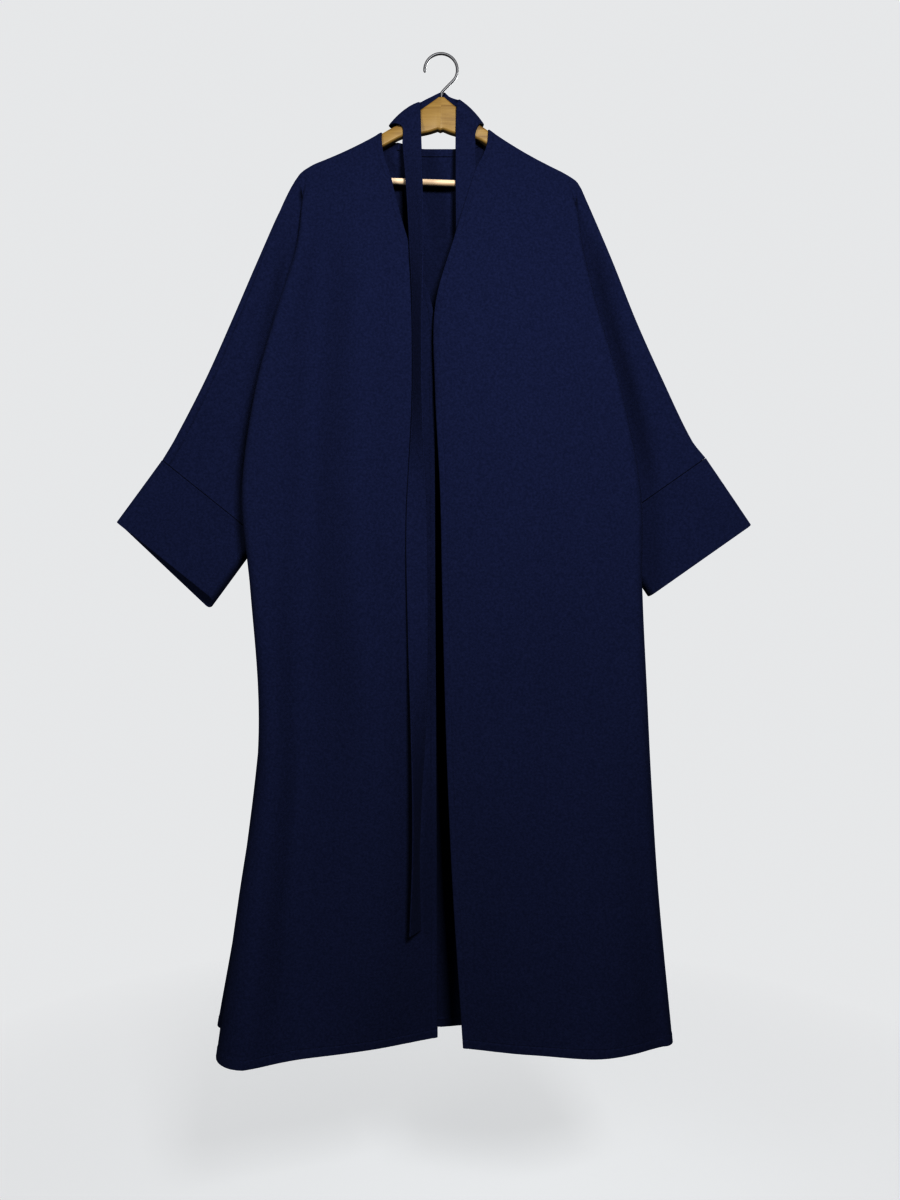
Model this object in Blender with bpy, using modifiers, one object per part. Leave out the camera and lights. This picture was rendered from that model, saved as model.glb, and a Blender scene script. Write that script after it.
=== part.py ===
"""Open-front abaya coat with dolman sleeves and a tie belt, hanging on a flat wooden hanger.

Metres, +Z up.  The origin is the inside top of the hanger's hook.  The coat's front faces -Y and the
wearer's left is +X.  On each half, "out" is the distance from the centre line towards that sleeve.
"""

import bisect
import math
from collections import namedtuple

import bmesh
import bpy
from mathutils import Vector

# Cloth thicknesses and clearances
CLOTH = 0.0016
CUFF_CLOTH = 0.0022
BELT_CLOTH = 0.0024
FACING_CLOTH = 0.0010
SEAM_GAP = 0.0003

RIGHT = -1
LEFT = 1
FRONT = -1
BACK = 1

# Coat: hem level, rounding of the cloth over the shoulder ridge, armhole, sleeves and belt
HEM_Z = -1.469
BACK_NECK_Z = -0.138
CAP_HALF = 0.0085
CAP_DEPTH = 0.009
CAP_ARC = math.pi / 4 * (CAP_HALF + CAP_DEPTH)
DRAPE = 0.070
ARMHOLE_HALF = 0.004
PINCH = CLOTH / 2 + SEAM_GAP / 2
PINCH_RUN = 0.030
VALLEY = 0.003
TUCK = 0.004
TUCK_START = 0.08
SLEEVE_Y = 0.003
SLEEVE_TOP_HALF = 0.0075
SLEEVE_HALF = 0.011
BELT_WIDTH = 0.030
FACING_HEIGHT = 0.011

# Hanger: two bowed arms with a lug at each end that takes the round bar, and a wire hook
HANGER_CENTRE = 0.003
HANGER_TILT = math.radians(2.0)
ARM_CROWN = -0.0615
ARM_FLAT = 0.004
ARM_SLOPE = 0.794
ARM_BOW = 1.03
ARM_NOSE = 2.5
ARM_NOSE_START = 0.170
ARM_END = 0.194
ARM_END_ROUND = 0.008
ARM_THICKNESS = 0.012
ARM_CORNER = 0.005
ARM_REST = CLOTH / 2 + 0.0011
LUG_START = 0.172
BAR_Z = -0.192
BAR_RADIUS = 0.005
HOOK_WIRE = 0.002
HOOK_RADIUS = 0.0245

# Mesh density: columns of a section, and rows down the cloth from the shoulder seam
RUN = 9
TURN = 4
NECK_COLUMNS = 4
NECK_ROW = 5
RIDGE_ROWS = [CAP_ARC * k / 4 for k in range(5)] + [0.0175, 0.0215, 0.027, 0.037, 0.053]
ARMHOLE_ROWS = 7
SKIRT_ROWS = 10
SLEEVE_COLUMNS = 6

# Each sleeve is a solid of its own from a little way outside the armhole: its start and the gap there, as
# shares of the sleeve's length
SLEEVE_START = 1 / SLEEVE_COLUMNS
SLEEVE_GAP = 0.0022

# Each half's shoulder and sleeve: where the neck point lies along the hanger's arm, how far the
# overarm seam has rolled to the front and over which share of the sleeve, and how much longer the
# cuff's back layer hangs
Half = namedtuple("Half", "neck roll roll_share skew cuff_in cuff_out")
HALVES = {
    RIGHT: Half(0.0873, 0.020, 0.40, 0.010, (0.271, -0.7245), (0.068, -0.093)),
    LEFT: Half(0.0715, -0.011, 0.30, 0.000, (0.2445, -0.7110), (0.068, -0.1005)),
}
UNDERARM = (0.174, -0.5775)

# Overarm line from the shoulder point to the cuff seam
Overarm = namedtuple("Overarm", "out z")
OVERARM = {
    RIGHT: [
        Overarm(0.2115, -0.1815),
        Overarm(0.2325, -0.2175),
        Overarm(0.2730, -0.3075),
        Overarm(0.3120, -0.3975),
        Overarm(0.3525, -0.4875),
        Overarm(0.3990, -0.5775),
        Overarm(0.4170, -0.6075),
    ],
    LEFT: [
        Overarm(0.2040, -0.1935),
        Overarm(0.2160, -0.2175),
        Overarm(0.2550, -0.3075),
        Overarm(0.2910, -0.3975),
        Overarm(0.3315, -0.4875),
        Overarm(0.3750, -0.5775),
        Overarm(0.3960, -0.6045),
    ],
}

# Level sections: the cloth runs from its free edge to the side fold, turns there on a radius, and goes
# back in to the side seam, which hangs in the valley between the front and back folds
Section = namedtuple("Section", "drop edge edge_y inner_y outer_y fold fold_y fold_r side side_y")
FRONTS = {
    RIGHT: [
        Section(0.120, 0.0885, -0.009, -0.009, -0.009, 0.2050, -0.009, 0.004, 0.205, 0.000),
        Section(0.200, 0.0715, -0.013, -0.014, -0.014, 0.2050, -0.014, 0.005, 0.200, 0.001),
        Section(0.290, 0.0470, -0.019, -0.024, -0.024, 0.2120, -0.026, 0.008, 0.192, 0.002),
        Section(0.390, 0.0115, -0.024, -0.034, -0.033, 0.2390, -0.038, 0.008, 0.184, 0.003),
        Section(0.510, 0.0095, -0.027, -0.043, -0.040, 0.2690, -0.048, 0.009, 0.178, 0.004),
        Section(0.660, 0.0085, -0.028, -0.048, -0.044, 0.2880, -0.052, 0.010, 0.185, 0.004),
        Section(0.800, 0.0080, -0.028, -0.050, -0.046, 0.2760, -0.054, 0.013, 0.190, 0.004),
        Section(0.960, 0.0070, -0.027, -0.050, -0.049, 0.2645, -0.056, 0.018, 0.195, 0.004),
        Section(1.080, 0.0065, -0.025, -0.049, -0.053, 0.2690, -0.060, 0.027, 0.205, 0.004),
        Section(1.250, 0.0060, -0.018, -0.045, -0.060, 0.2920, -0.076, 0.036, 0.232, 0.004),
        Section(1.469, 0.0052, -0.008, -0.041, -0.074, 0.3200, -0.104, 0.048, 0.265, 0.004),
    ],
    LEFT: [
        Section(0.114, 0.0705, -0.009, -0.009, -0.009, 0.2000, -0.009, 0.004, 0.200, 0.000),
        Section(0.200, 0.0445, -0.015, -0.015, -0.014, 0.2000, -0.014, 0.005, 0.196, 0.001),
        Section(0.280, 0.0205, -0.024, -0.026, -0.024, 0.2070, -0.025, 0.008, 0.190, 0.002),
        Section(0.388, -0.0085, -0.034, -0.038, -0.035, 0.2290, -0.038, 0.008, 0.182, 0.003),
        Section(0.510, -0.0085, -0.040, -0.047, -0.043, 0.2620, -0.048, 0.009, 0.177, 0.004),
        Section(0.660, -0.0010, -0.043, -0.052, -0.048, 0.2900, -0.052, 0.010, 0.185, 0.004),
        Section(0.800, 0.0020, -0.045, -0.054, -0.050, 0.2920, -0.054, 0.013, 0.192, 0.004),
        Section(0.960, 0.0060, -0.046, -0.055, -0.052, 0.3000, -0.055, 0.018, 0.205, 0.004),
        Section(1.080, 0.0100, -0.046, -0.056, -0.057, 0.3070, -0.052, 0.021, 0.218, 0.004),
        Section(1.250, 0.0180, -0.044, -0.057, -0.064, 0.3190, -0.045, 0.019, 0.240, 0.004),
        Section(1.469, 0.0325, -0.041, -0.061, -0.0740, 0.3410, -0.036, 0.016, 0.270, 0.004),
    ],
}
BackSection = namedtuple("BackSection", "drop centre_y inner_y outer_y right_fold left_fold fold_y fold_r")
BACKS = [
    BackSection(0.120, 0.0085, 0.0085, 0.0085, 0.205, 0.200, 0.009, 0.003),
    BackSection(0.200, 0.0130, 0.0135, 0.0140, 0.203, 0.199, 0.017, 0.004),
    BackSection(0.290, 0.0170, 0.0175, 0.0180, 0.212, 0.207, 0.023, 0.005),
    BackSection(0.390, 0.0200, 0.0210, 0.0200, 0.232, 0.225, 0.028, 0.005),
    BackSection(0.510, 0.0230, 0.0260, 0.0240, 0.258, 0.252, 0.036, 0.005),
    BackSection(0.660, 0.0260, 0.0300, 0.0260, 0.276, 0.280, 0.040, 0.005),
    BackSection(0.960, 0.0280, 0.0340, 0.0280, 0.274, 0.288, 0.042, 0.007),
    BackSection(1.250, 0.0280, 0.0370, 0.0300, 0.305, 0.312, 0.044, 0.011),
    BackSection(1.469, 0.0260, 0.0400, 0.0320, 0.342, 0.342, 0.046, 0.014),
]

# Belt round the hanger's neck, from the right arm's front over and behind the hook to the left arm's
# front: the edge next to the hook and the edge away from it
Band = namedtuple("Band", "near far")
BELT_NECK = [
    Band((-0.0303, -0.0077, -0.095), (-0.0575, -0.0077, -0.112)),
    Band((-0.0310, -0.0100, -0.079), (-0.0690, -0.0100, -0.108)),
    Band((-0.0330, -0.0030, -0.071), (-0.0780, 0.0020, -0.106)),
    Band((-0.0330, 0.0050, -0.068), (-0.0680, 0.0130, -0.105)),
    Band((-0.0280, 0.0100, -0.064), (-0.0400, 0.0150, -0.095)),
    Band((-0.0140, 0.0120, -0.056), (-0.0160, 0.0140, -0.086)),
    Band((0.0030, 0.0120, -0.049), (0.0030, 0.0130, -0.079)),
    Band((0.0120, 0.0120, -0.056), (0.0170, 0.0140, -0.086)),
    Band((0.0220, 0.0100, -0.061), (0.0400, 0.0150, -0.100)),
    Band((0.0270, 0.0040, -0.066), (0.0580, 0.0130, -0.105)),
    Band((0.0260, -0.0040, -0.070), (0.0640, 0.0020, -0.104)),
    Band((0.0235, -0.0105, -0.082), (0.0570, -0.0105, -0.109)),
    Band((0.0225, -0.0077, -0.100), (0.0515, -0.0077, -0.121)),
]
# The two hanging ends, upwards from the lower end: middle of the belt and its turn about the vertical
Strip = namedtuple("Strip", "z x y turn")
BELT_OUTER_END = [
    Strip(-1.302, -0.0371, -0.0440, -60),
    Strip(-1.194, -0.0357, -0.0500, -72),
    Strip(-1.107, -0.0342, -0.0530, -67),
    Strip(-0.991, -0.0321, -0.0525, -43),
    Strip(-0.875, -0.0328, -0.0480, -15),
    Strip(-0.702, -0.0350, -0.0440, 0),
    Strip(-0.528, -0.0336, -0.0510, 59),
    Strip(-0.379, -0.0340, -0.0445, 58),
    Strip(-0.288, -0.0358, -0.0340, 43),
    Strip(-0.200, -0.0395, -0.0230, 34),
    Strip(-0.140, -0.0430, -0.0150, 20),
]
BELT_INNER_END = [
    Strip(-1.240, 0.0480, -0.0150, 12),
    Strip(-0.900, 0.0450, -0.0160, -8),
    Strip(-0.550, 0.0410, -0.0130, 10),
    Strip(-0.290, 0.0375, -0.0095, 4),
    Strip(-0.140, 0.0367, -0.0085, 0),
]

# Hanger arm: height of the wood along each arm, measured from the middle
ArmHeight = namedtuple("ArmHeight", "along height")
ARM_HEIGHTS = [
    ArmHeight(0.000, 0.0510),
    ArmHeight(0.015, 0.0450),
    ArmHeight(0.030, 0.0375),
    ArmHeight(0.045, 0.0285),
    ArmHeight(0.060, 0.0225),
    ArmHeight(0.090, 0.0210),
    ArmHeight(0.130, 0.0195),
    ArmHeight(0.1715, 0.0176),
    ArmHeight(0.1730, 0.0310),
    ArmHeight(0.194, 0.0310),
]

NAVY = (0.0060, 0.0085, 0.0290, 1.0)
WOOD = (0.4450, 0.2780, 0.1000, 1.0)
PALE_WOOD = (0.5330, 0.4230, 0.2830, 1.0)
STEEL = (0.6000, 0.6000, 0.6000, 1.0)


def lerp(start, end, f):
    return start + (end - start) * f


def smooth(f):
    f = min(max(f, 0.0), 1.0)
    return f * f * (3.0 - 2.0 * f)


def rounded(f):
    """Quarter-round rise from 0 to 1."""
    f = min(max(f, 0.0), 1.0)
    return math.sqrt(1.0 - (1.0 - f) ** 2)


def spline(stations, values, at):
    """Smooth curve through the values at rising stations."""
    last = len(stations) - 1
    at = min(max(at, stations[0]), stations[last])
    i = min(max(bisect.bisect_right(stations, at) - 1, 0), last - 1)

    def slope(k):
        low, high = max(k - 1, 0), min(k + 1, last)
        return (values[high] - values[low]) / (stations[high] - stations[low])

    span = stations[i + 1] - stations[i]
    u = (at - stations[i]) / span
    bend = slope(i) * span * (u - 2 * u**2 + u**3) + slope(i + 1) * span * (u**3 - u**2)
    return values[i] * (1 - 3 * u**2 + 2 * u**3) + values[i + 1] * (3 * u**2 - 2 * u**3) + bend


def table_row(table, drop):
    """A table's row at any drop, between its written rows."""
    drops = [row.drop for row in table]
    return type(table[0])(*(spline(drops, column, drop) for column in zip(*table)))


# Hanger and the ridge line that the coat's shoulders take from it

def arm_top(along):
    along = max(along, ARM_FLAT)
    nose = ARM_NOSE * max(along - ARM_NOSE_START, 0.0) ** 2
    return ARM_CROWN - ARM_SLOPE * along + ARM_BOW * along**2 - nose


def tilted(x, y, z):
    """Where a point of the level hanger lies as it hangs."""
    cos, sin = math.cos(HANGER_TILT), math.sin(HANGER_TILT)
    return Vector((x * cos + z * sin, y, z * cos - x * sin))


def ridge_points(side):
    """Shoulder and overarm line as (out, z): along the hanger's arm, then down the sleeve."""
    points = []
    rests = 6
    for k in range(rests):
        along = lerp(HALVES[side].neck, ARM_END - ARM_END_ROUND / 2, k / (rests - 1))
        place = tilted(HANGER_CENTRE + side * along, 0.0, arm_top(along) + ARM_REST)
        points.append(Vector((side * place.x, place.z)))
    return points + [Vector(row) for row in OVERARM[side]], rests


class Ridge:
    """One half's ridge line, by length from the neck point."""

    def __init__(self, side):
        self.points, rests = ridge_points(side)
        self.lengths = [0.0]
        for a, b in zip(self.points, self.points[1:]):
            self.lengths.append(self.lengths[-1] + (b - a).length)
        self.shoulder = self.lengths[rests]
        self.end = self.lengths[-1]

    def at(self, length):
        return spline(self.lengths, self.points, length)


RIDGES = {side: Ridge(side) for side in (RIGHT, LEFT)}


def cap(run):
    """Share of the ridge's half thickness, and drop below it, at a run of cloth from the ridge."""
    if run < 0.0:
        share, drop = cap(-run)
        return -share, drop
    if run >= CAP_ARC:
        return 1.0, CAP_DEPTH + run - CAP_ARC
    angle = run / CAP_ARC * math.pi / 2
    return math.sin(angle), CAP_DEPTH * (1.0 - math.cos(angle))


def run_for(drop):
    """Run of cloth from the ridge to a drop below its rounding."""
    return drop - CAP_DEPTH + CAP_ARC


# Body of each half

COLUMNS = [("run", k / RUN) for k in range(RUN + 1)]
COLUMNS += [("turn", k / TURN) for k in range(1, TURN + 1)]
COLUMNS += [("return", 0.5), ("return", 1.0), ("seam", 1.0)]
SIDE_COLUMNS = len(COLUMNS) - RUN - 1
SIDE_PITCH = 0.003


def section_row(side, face, drop):
    front = table_row(FRONTS[side], drop)
    if face == FRONT:
        return front
    back = table_row(BACKS, drop)
    fold = back.right_fold if side == RIGHT else back.left_fold
    return Section(drop, 0.0, back.centre_y, back.inner_y, back.outer_y, fold, back.fold_y, back.fold_r,
                   front.side, front.side_y)


def armhole_half(drop_share):
    """Half the armhole's opening from the shoulder point (0) to the underarm (1), closed below it."""
    depth = RIDGES[RIGHT].at(RIDGES[RIGHT].shoulder).y - UNDERARM[1]
    wide = lerp(CAP_HALF, ARMHOLE_HALF, drop_share)
    return lerp(PINCH, wide, rounded((1.0 - drop_share) * depth / PINCH_RUN))


def section_point(side, face, column, z):
    part, f = column
    row = section_row(side, face, -z)
    top_z = RIDGES[side].at(RIDGES[side].shoulder).y
    share = min(max((top_z - z) / (top_z - UNDERARM[1]), 0.0), 1.0)
    seam_y = row.side_y + face * armhole_half(share)
    return_y = seam_y + face * TUCK * smooth(share / TUCK_START)
    r = min(row.fold_r, 0.45 * abs(return_y - row.fold_y))
    turn_out = row.fold - r
    if part == "run":
        heights = (row.edge_y, row.inner_y, row.outer_y, row.fold_y)
        return lerp(row.edge, turn_out, f), spline((0, 1 / 3, 2 / 3, 1), heights, f)
    if part == "turn":
        angle = math.pi * f
        return turn_out + r * math.sin(angle), row.fold_y - face * r * (1.0 - math.cos(angle))
    if part == "return":
        return lerp(turn_out, row.side + VALLEY, f), lerp(row.fold_y - face * 2 * r, return_y, f)
    return row.side, seam_y


def column_top(side, face, index):
    """Top of a column as (out, z): on the ridge, or above the back neckline for the back's inner ones."""
    ridge = RIDGES[side]
    side_start = ridge.shoulder - SIDE_PITCH * SIDE_COLUMNS
    if index > RUN:
        return ridge.at(side_start + SIDE_PITCH * (index - RUN))
    if face == FRONT:
        return ridge.at(side_start * index / RUN)
    if index >= NECK_COLUMNS:
        return ridge.at(side_start * (index - NECK_COLUMNS) / (RUN - NECK_COLUMNS))
    neck = ridge.at(0.0)
    share = index / NECK_COLUMNS
    above = cap(RIDGE_ROWS[NECK_ROW])[1]
    return Vector((neck.x * share, lerp(BACK_NECK_Z + above, neck.y, share**2)))


def body_runs(side, top_z):
    """Runs of cloth from the ridge at each row of a column, with a row at the underarm."""
    shoulder_z = RIDGES[side].at(RIDGES[side].shoulder).y
    first = RIDGE_ROWS[-1]
    to_hem = run_for(top_z - HEM_Z)
    underarm_share = (run_for(shoulder_z - UNDERARM[1]) - first) / (run_for(shoulder_z - HEM_Z) - first)
    shares = [underarm_share * k / ARMHOLE_ROWS for k in range(1, ARMHOLE_ROWS + 1)]
    shares += [lerp(underarm_share, 1.0, k / SKIRT_ROWS) for k in range(1, SKIRT_ROWS + 1)]
    return [SEAM_GAP] + RIDGE_ROWS[1:] + [lerp(first, to_hem, share) for share in shares]


SKIRT_ROW = len(RIDGE_ROWS) + ARMHOLE_ROWS


def body_point(side, face, index, run):
    """A point of the body's cloth: flat over the hanger at the top, then hanging in its sections."""
    top = column_top(side, face, index)
    share, drop = cap(run)
    out, y = section_point(side, face, COLUMNS[index], top.y - drop)
    hang = smooth(drop / DRAPE)
    return Vector((side * lerp(top.x, out, hang), lerp(face * CAP_HALF * share, y, hang), top.y - drop))


# Sleeve of each half, from the armhole to the cuff seam

def sleeve_half(f, v, length):
    """Half the sleeve's thickness at f along it and v of the way from the overarm to the underarm."""
    wide = lerp(SLEEVE_TOP_HALF, SLEEVE_HALF, f)
    hung = lerp(PINCH, wide, rounded((1.0 - v) * length / PINCH_RUN))
    return lerp(armhole_half(v), hung, smooth(f / 0.5))


def sleeve_line(side, f):
    """Overarm and underarm points of the sleeve as (out, z)."""
    ridge = RIDGES[side]
    upper = ridge.at(lerp(ridge.shoulder, ridge.end, f))
    return upper, Vector(UNDERARM).lerp(Vector(HALVES[side].cuff_in), f)


def sleeve_runs(length):
    first = RIDGE_ROWS[-1]
    end = run_for(length)
    steps = [lerp(first, end, k / ARMHOLE_ROWS) for k in range(1, ARMHOLE_ROWS + 1)]
    return [SEAM_GAP] + RIDGE_ROWS[1:] + steps


def sleeve_point(side, face, f, run):
    upper, under = sleeve_line(side, f)
    length = (under - upper).length
    share, drop = cap(run)
    v = min(drop / length, 1.0)
    place = upper.lerp(under, v)
    y = SLEEVE_Y * lerp(v, 1.0, f) + face * sleeve_half(f, v, length) * share
    return Vector((side * place.x, y, place.y))


def sleeve_column(side, face, f):
    """Rows of one sleeve column; the seam rolls off the ridge along the sleeve."""
    upper, under = sleeve_line(side, f)
    length = (under - upper).length
    roll = -face * HALVES[side].roll * smooth(f / HALVES[side].roll_share)
    end = run_for(length)
    return [sleeve_point(side, face, f, run + roll * (1.0 - run / end)) for run in sleeve_runs(length)]


# Mesh helpers

def new_object(name, mesh):
    obj = bpy.data.objects.new(name, mesh)
    PARTS.objects.link(obj)
    obj.parent = HANGING_POINT
    return obj


def finish(obj, material):
    obj.data.materials.append(material)
    obj.data.shade_smooth()
    obj.data.set_sharp_from_angle(angle=math.radians(40))
    return obj


def grid_object(name, columns, thickness, material, closed=False):
    """A wall of cloth on columns of points; a column may start lower than its neighbours (None above)."""
    shell = bmesh.new()
    verts = [[None if p is None else shell.verts.new(p) for p in column] for column in columns]
    pairs = list(zip(verts, verts[1:]))
    if closed:
        pairs.append((verts[-1], verts[0]))
    for a, b in pairs:
        for i in range(min(len(a), len(b)) - 1):
            corners = (a[i], a[i + 1], b[i + 1], b[i])
            if None not in corners:
                shell.faces.new(corners)
    bmesh.ops.recalc_face_normals(shell, faces=shell.faces)
    mesh = bpy.data.meshes.new(name)
    shell.to_mesh(mesh)
    shell.free()
    obj = new_object(name, mesh)
    wall = obj.modifiers.new("Wall", "SOLIDIFY")
    wall.thickness = thickness
    wall.offset = 0.0
    return finish(obj, material)


def material(name, colour, roughness, metallic=0.0):
    made = bpy.data.materials.new(name)
    made.use_nodes = True
    shader = made.node_tree.nodes["Principled BSDF"]
    shader.inputs["Base Color"].default_value = colour
    shader.inputs["Roughness"].default_value = roughness
    shader.inputs["Metallic"].default_value = metallic
    return made


# Pieces

def half_columns(side, face):
    """Columns of one half of the coat's front or back: upper part, skirt below the underarm, and sleeve."""
    upper, skirt = [], []
    for index in range(len(COLUMNS)):
        runs = body_runs(side, column_top(side, face, index).y)
        column = [body_point(side, face, index, run) for run in runs]
        join = body_point(side, face, index, runs[SKIRT_ROW] + SEAM_GAP)
        skirt.append([join] + column[SKIRT_ROW + 1:])
        if face == BACK and index < NECK_COLUMNS:
            column[:NECK_ROW] = [None] * NECK_ROW
        upper.append(column[:SKIRT_ROW + 1])
    upper.append(sleeve_column(side, face, SLEEVE_START))
    stations = [SLEEVE_START + SLEEVE_GAP] + [k / SLEEVE_COLUMNS for k in range(2, SLEEVE_COLUMNS + 1)]
    return upper, skirt, [sleeve_column(side, face, f) for f in stations]


def cloth(name, columns):
    grid_object(name, columns, CLOTH, material(name, NAVY, 0.85))


def make_front(half_name, side):
    upper, skirt, sleeve = half_columns(side, FRONT)
    cloth("front_" + half_name, upper)
    cloth("skirt_front_" + half_name, skirt)
    cloth("sleeve_front_" + half_name, sleeve)


def make_back():
    right_upper, right_skirt, right_sleeve = half_columns(RIGHT, BACK)
    left_upper, left_skirt, left_sleeve = half_columns(LEFT, BACK)
    cloth("back", right_upper[::-1] + left_upper[1:])
    cloth("skirt_back", right_skirt[::-1] + left_skirt[1:])
    cloth("sleeve_back_right", right_sleeve)
    cloth("sleeve_back_left", left_sleeve)


def make_facing():
    """Narrow strip turned in along the back neck, lying inside the back."""
    inset = Vector((0.0, -(CLOTH / 2 + SEAM_GAP + FACING_CLOTH / 2), 0.0))
    top_run = RIDGE_ROWS[NECK_ROW]
    columns = []
    for side, indices in ((RIGHT, (3, 2, 1, 0)), (LEFT, (1, 2, 3))):
        for index in indices:
            runs = [top_run + FACING_HEIGHT * k / 2 for k in range(3)]
            columns.append([body_point(side, BACK, index, run) + inset for run in runs])
    grid_object("back_neck_facing", columns, FACING_CLOTH, material("back_neck_facing", NAVY, 0.85))


def make_cuff(name, side):
    """Deep straight cuff: a flattened tube that goes on from the sleeve's end."""
    half = HALVES[side]
    upper, under = sleeve_line(side, 1.0)
    length = (under - upper).length
    cuff_out = Vector(half.cuff_out)
    rings, caps, sides = 3, 4, 2
    drops = [CAP_DEPTH * (1.0 - math.cos(math.pi / 2 * k / caps)) for k in range(caps + 1)]
    drops += [lerp(CAP_DEPTH, length - CAP_DEPTH, k / (sides + 1)) for k in range(1, sides + 1)]
    drops += [length - drop for drop in drops[caps::-1]]
    loop = [(FRONT, drop) for drop in drops] + [(BACK, drop) for drop in drops[-2:0:-1]]
    columns = []
    for face, drop in loop:
        bulge = min(rounded(drop / CAP_DEPTH), rounded((length - drop) / CAP_DEPTH))
        y = SLEEVE_Y + face * SLEEVE_HALF * bulge
        longer = half.skew * (0.5 + 0.5 * face * bulge)
        column = []
        for k in range(rings + 1):
            along = lerp(SEAM_GAP + CLOTH / 4, cuff_out.length + longer, k / rings)
            place = upper.lerp(under, drop / length) + cuff_out.normalized() * along
            column.append(Vector((side * place.x, y, place.y)))
        columns.append(column)
    grid_object(name, columns, CUFF_CLOTH, material(name, NAVY, 0.85), closed=True)


def strip_band(strip, hook_side):
    """Both edges of a hanging end of the belt."""
    turn = math.radians(strip.turn)
    across = Vector((math.cos(turn), -math.sin(turn), 0.0)) * BELT_WIDTH / 2 * hook_side
    middle = Vector((strip.x, strip.y, strip.z))
    return Band(middle + across, middle - across)


def make_belt():
    """Tie belt laid over the hanger: one end hangs outside the right front, the other inside the left."""
    bands = [strip_band(strip, 1) for strip in BELT_OUTER_END]
    bands += [Band(Vector(near), Vector(far)) for near, far in BELT_NECK]
    bands += [strip_band(strip, -1) for strip in reversed(BELT_INNER_END)]
    middles = [(band.near + band.far) / 2 for band in bands]
    stations = [0.0]
    for a, b in zip(middles, middles[1:]):
        stations.append(stations[-1] + (b - a).length)
    marks = [0.0]
    for start, end in zip(stations, stations[1:]):
        steps = max(2, round((end - start) / 0.045))
        marks += [lerp(start, end, k / steps) for k in range(1, steps + 1)]
    columns = []
    for share in (0.0, 0.5, 1.0):
        line = [band.near.lerp(band.far, share) for band in bands]
        columns.append([spline(stations, line, mark) for mark in marks])
    grid_object("belt", columns, BELT_CLOTH, material("belt", NAVY, 0.8))


def make_arm(name, side):
    """One arm of the hanger: rounded wood, deeper at the middle and at the lug that takes the bar."""
    alongs = [row.along for row in ARM_HEIGHTS]
    stations = [SEAM_GAP / 2, ARM_FLAT] + alongs[1:-1] + [ARM_END - ARM_END_ROUND]
    stations += [ARM_END - ARM_END_ROUND * share for share in (0.5, 0.15, 0.0)]
    stations += [0.110, 0.150]
    shape = bmesh.new()
    rings = []
    for along in sorted(stations):
        row = max(i for i, start in enumerate(alongs) if start <= along)
        row = min(row, len(ARM_HEIGHTS) - 2)
        low, high = ARM_HEIGHTS[row], ARM_HEIGHTS[row + 1]
        height = lerp(low.height, high.height, (along - low.along) / (high.along - low.along))
        nose = min(max((along - ARM_END + ARM_END_ROUND) / ARM_END_ROUND, 0.0), 1.0)
        inset = ARM_END_ROUND * (1.0 - math.sqrt(1.0 - nose**2))
        top, bottom = arm_top(along) - inset, arm_top(along) - height + inset
        ring = []
        for z, y_sign, z_sign in ((top, 1, -1), (top, -1, -1), (bottom, -1, 1), (bottom, 1, 1)):
            for k in range(3):
                angle = math.pi / 4 * (k if y_sign * z_sign < 0 else 2 - k)
                y = y_sign * (ARM_THICKNESS / 2 - ARM_CORNER * (1.0 - math.cos(angle)))
                dz = z_sign * ARM_CORNER * (1.0 - math.sin(angle))
                ring.append(shape.verts.new(tilted(HANGER_CENTRE + side * along, y, z + dz)))
        rings.append(ring)
    for a, b in zip(rings, rings[1:]):
        for i in range(len(a)):
            j = (i + 1) % len(a)
            shape.faces.new((a[i], a[j], b[j], b[i]))
    shape.faces.new(rings[0])
    shape.faces.new(rings[-1])
    bmesh.ops.recalc_face_normals(shape, faces=shape.faces)
    mesh = bpy.data.meshes.new(name)
    shape.to_mesh(mesh)
    shape.free()
    finish(new_object(name, mesh), material(name, WOOD, 0.45))


def make_bar():
    length = 2 * (LUG_START - 2 * SEAM_GAP)
    bpy.ops.mesh.primitive_cylinder_add(vertices=16, radius=BAR_RADIUS, depth=length)
    bar = bpy.context.object
    bar.name = "hanger_bar"
    bpy.context.collection.objects.unlink(bar)
    PARTS.objects.link(bar)
    bar.parent = HANGING_POINT
    bar.location = tilted(HANGER_CENTRE, 0.0, BAR_Z)
    bar.rotation_euler = (0.0, math.pi / 2 + HANGER_TILT, 0.0)
    finish(bar, material("hanger_bar", PALE_WOOD, 0.5))


def make_hook():
    """Wire hook: round over the top, then a straight shank slanting back to the hanger's middle."""
    wire = bpy.data.curves.new("hanger_hook", "CURVE")
    wire.dimensions = "3D"
    wire.bevel_depth = HOOK_WIRE
    wire.bevel_resolution = 2
    wire.use_fill_caps = True
    tip, release, steps = math.radians(188), math.radians(-35), 20
    centre = Vector((0.0, 0.0, HOOK_WIRE - HOOK_RADIUS))
    route = []
    for k in range(steps + 1):
        angle = lerp(tip, release, k / steps)
        route.append(centre + HOOK_RADIUS * Vector((math.cos(angle), 0.0, math.sin(angle))))
    foot = tilted(HANGER_CENTRE, 0.0, arm_top(0.0) + SEAM_GAP)
    neck = foot + Vector((0.0, 0.0, 0.007))
    route += [route[-1].lerp(neck, 0.5), neck, foot]
    line = wire.splines.new("POLY")
    line.points.add(len(route) - 1)
    for point, place in zip(line.points, route):
        point.co = (*place, 1.0)
    hook = new_object("hanger_hook", wire)
    wire.materials.append(material("hanger_hook", STEEL, 0.25, 1.0))
    return hook


for old in list(bpy.data.objects):
    bpy.data.objects.remove(old, do_unlink=True)
PARTS = bpy.data.collections.new("abaya_coat")
bpy.context.scene.collection.children.link(PARTS)
HANGING_POINT = bpy.data.objects.new("hanging_point", None)
PARTS.objects.link(HANGING_POINT)

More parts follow.
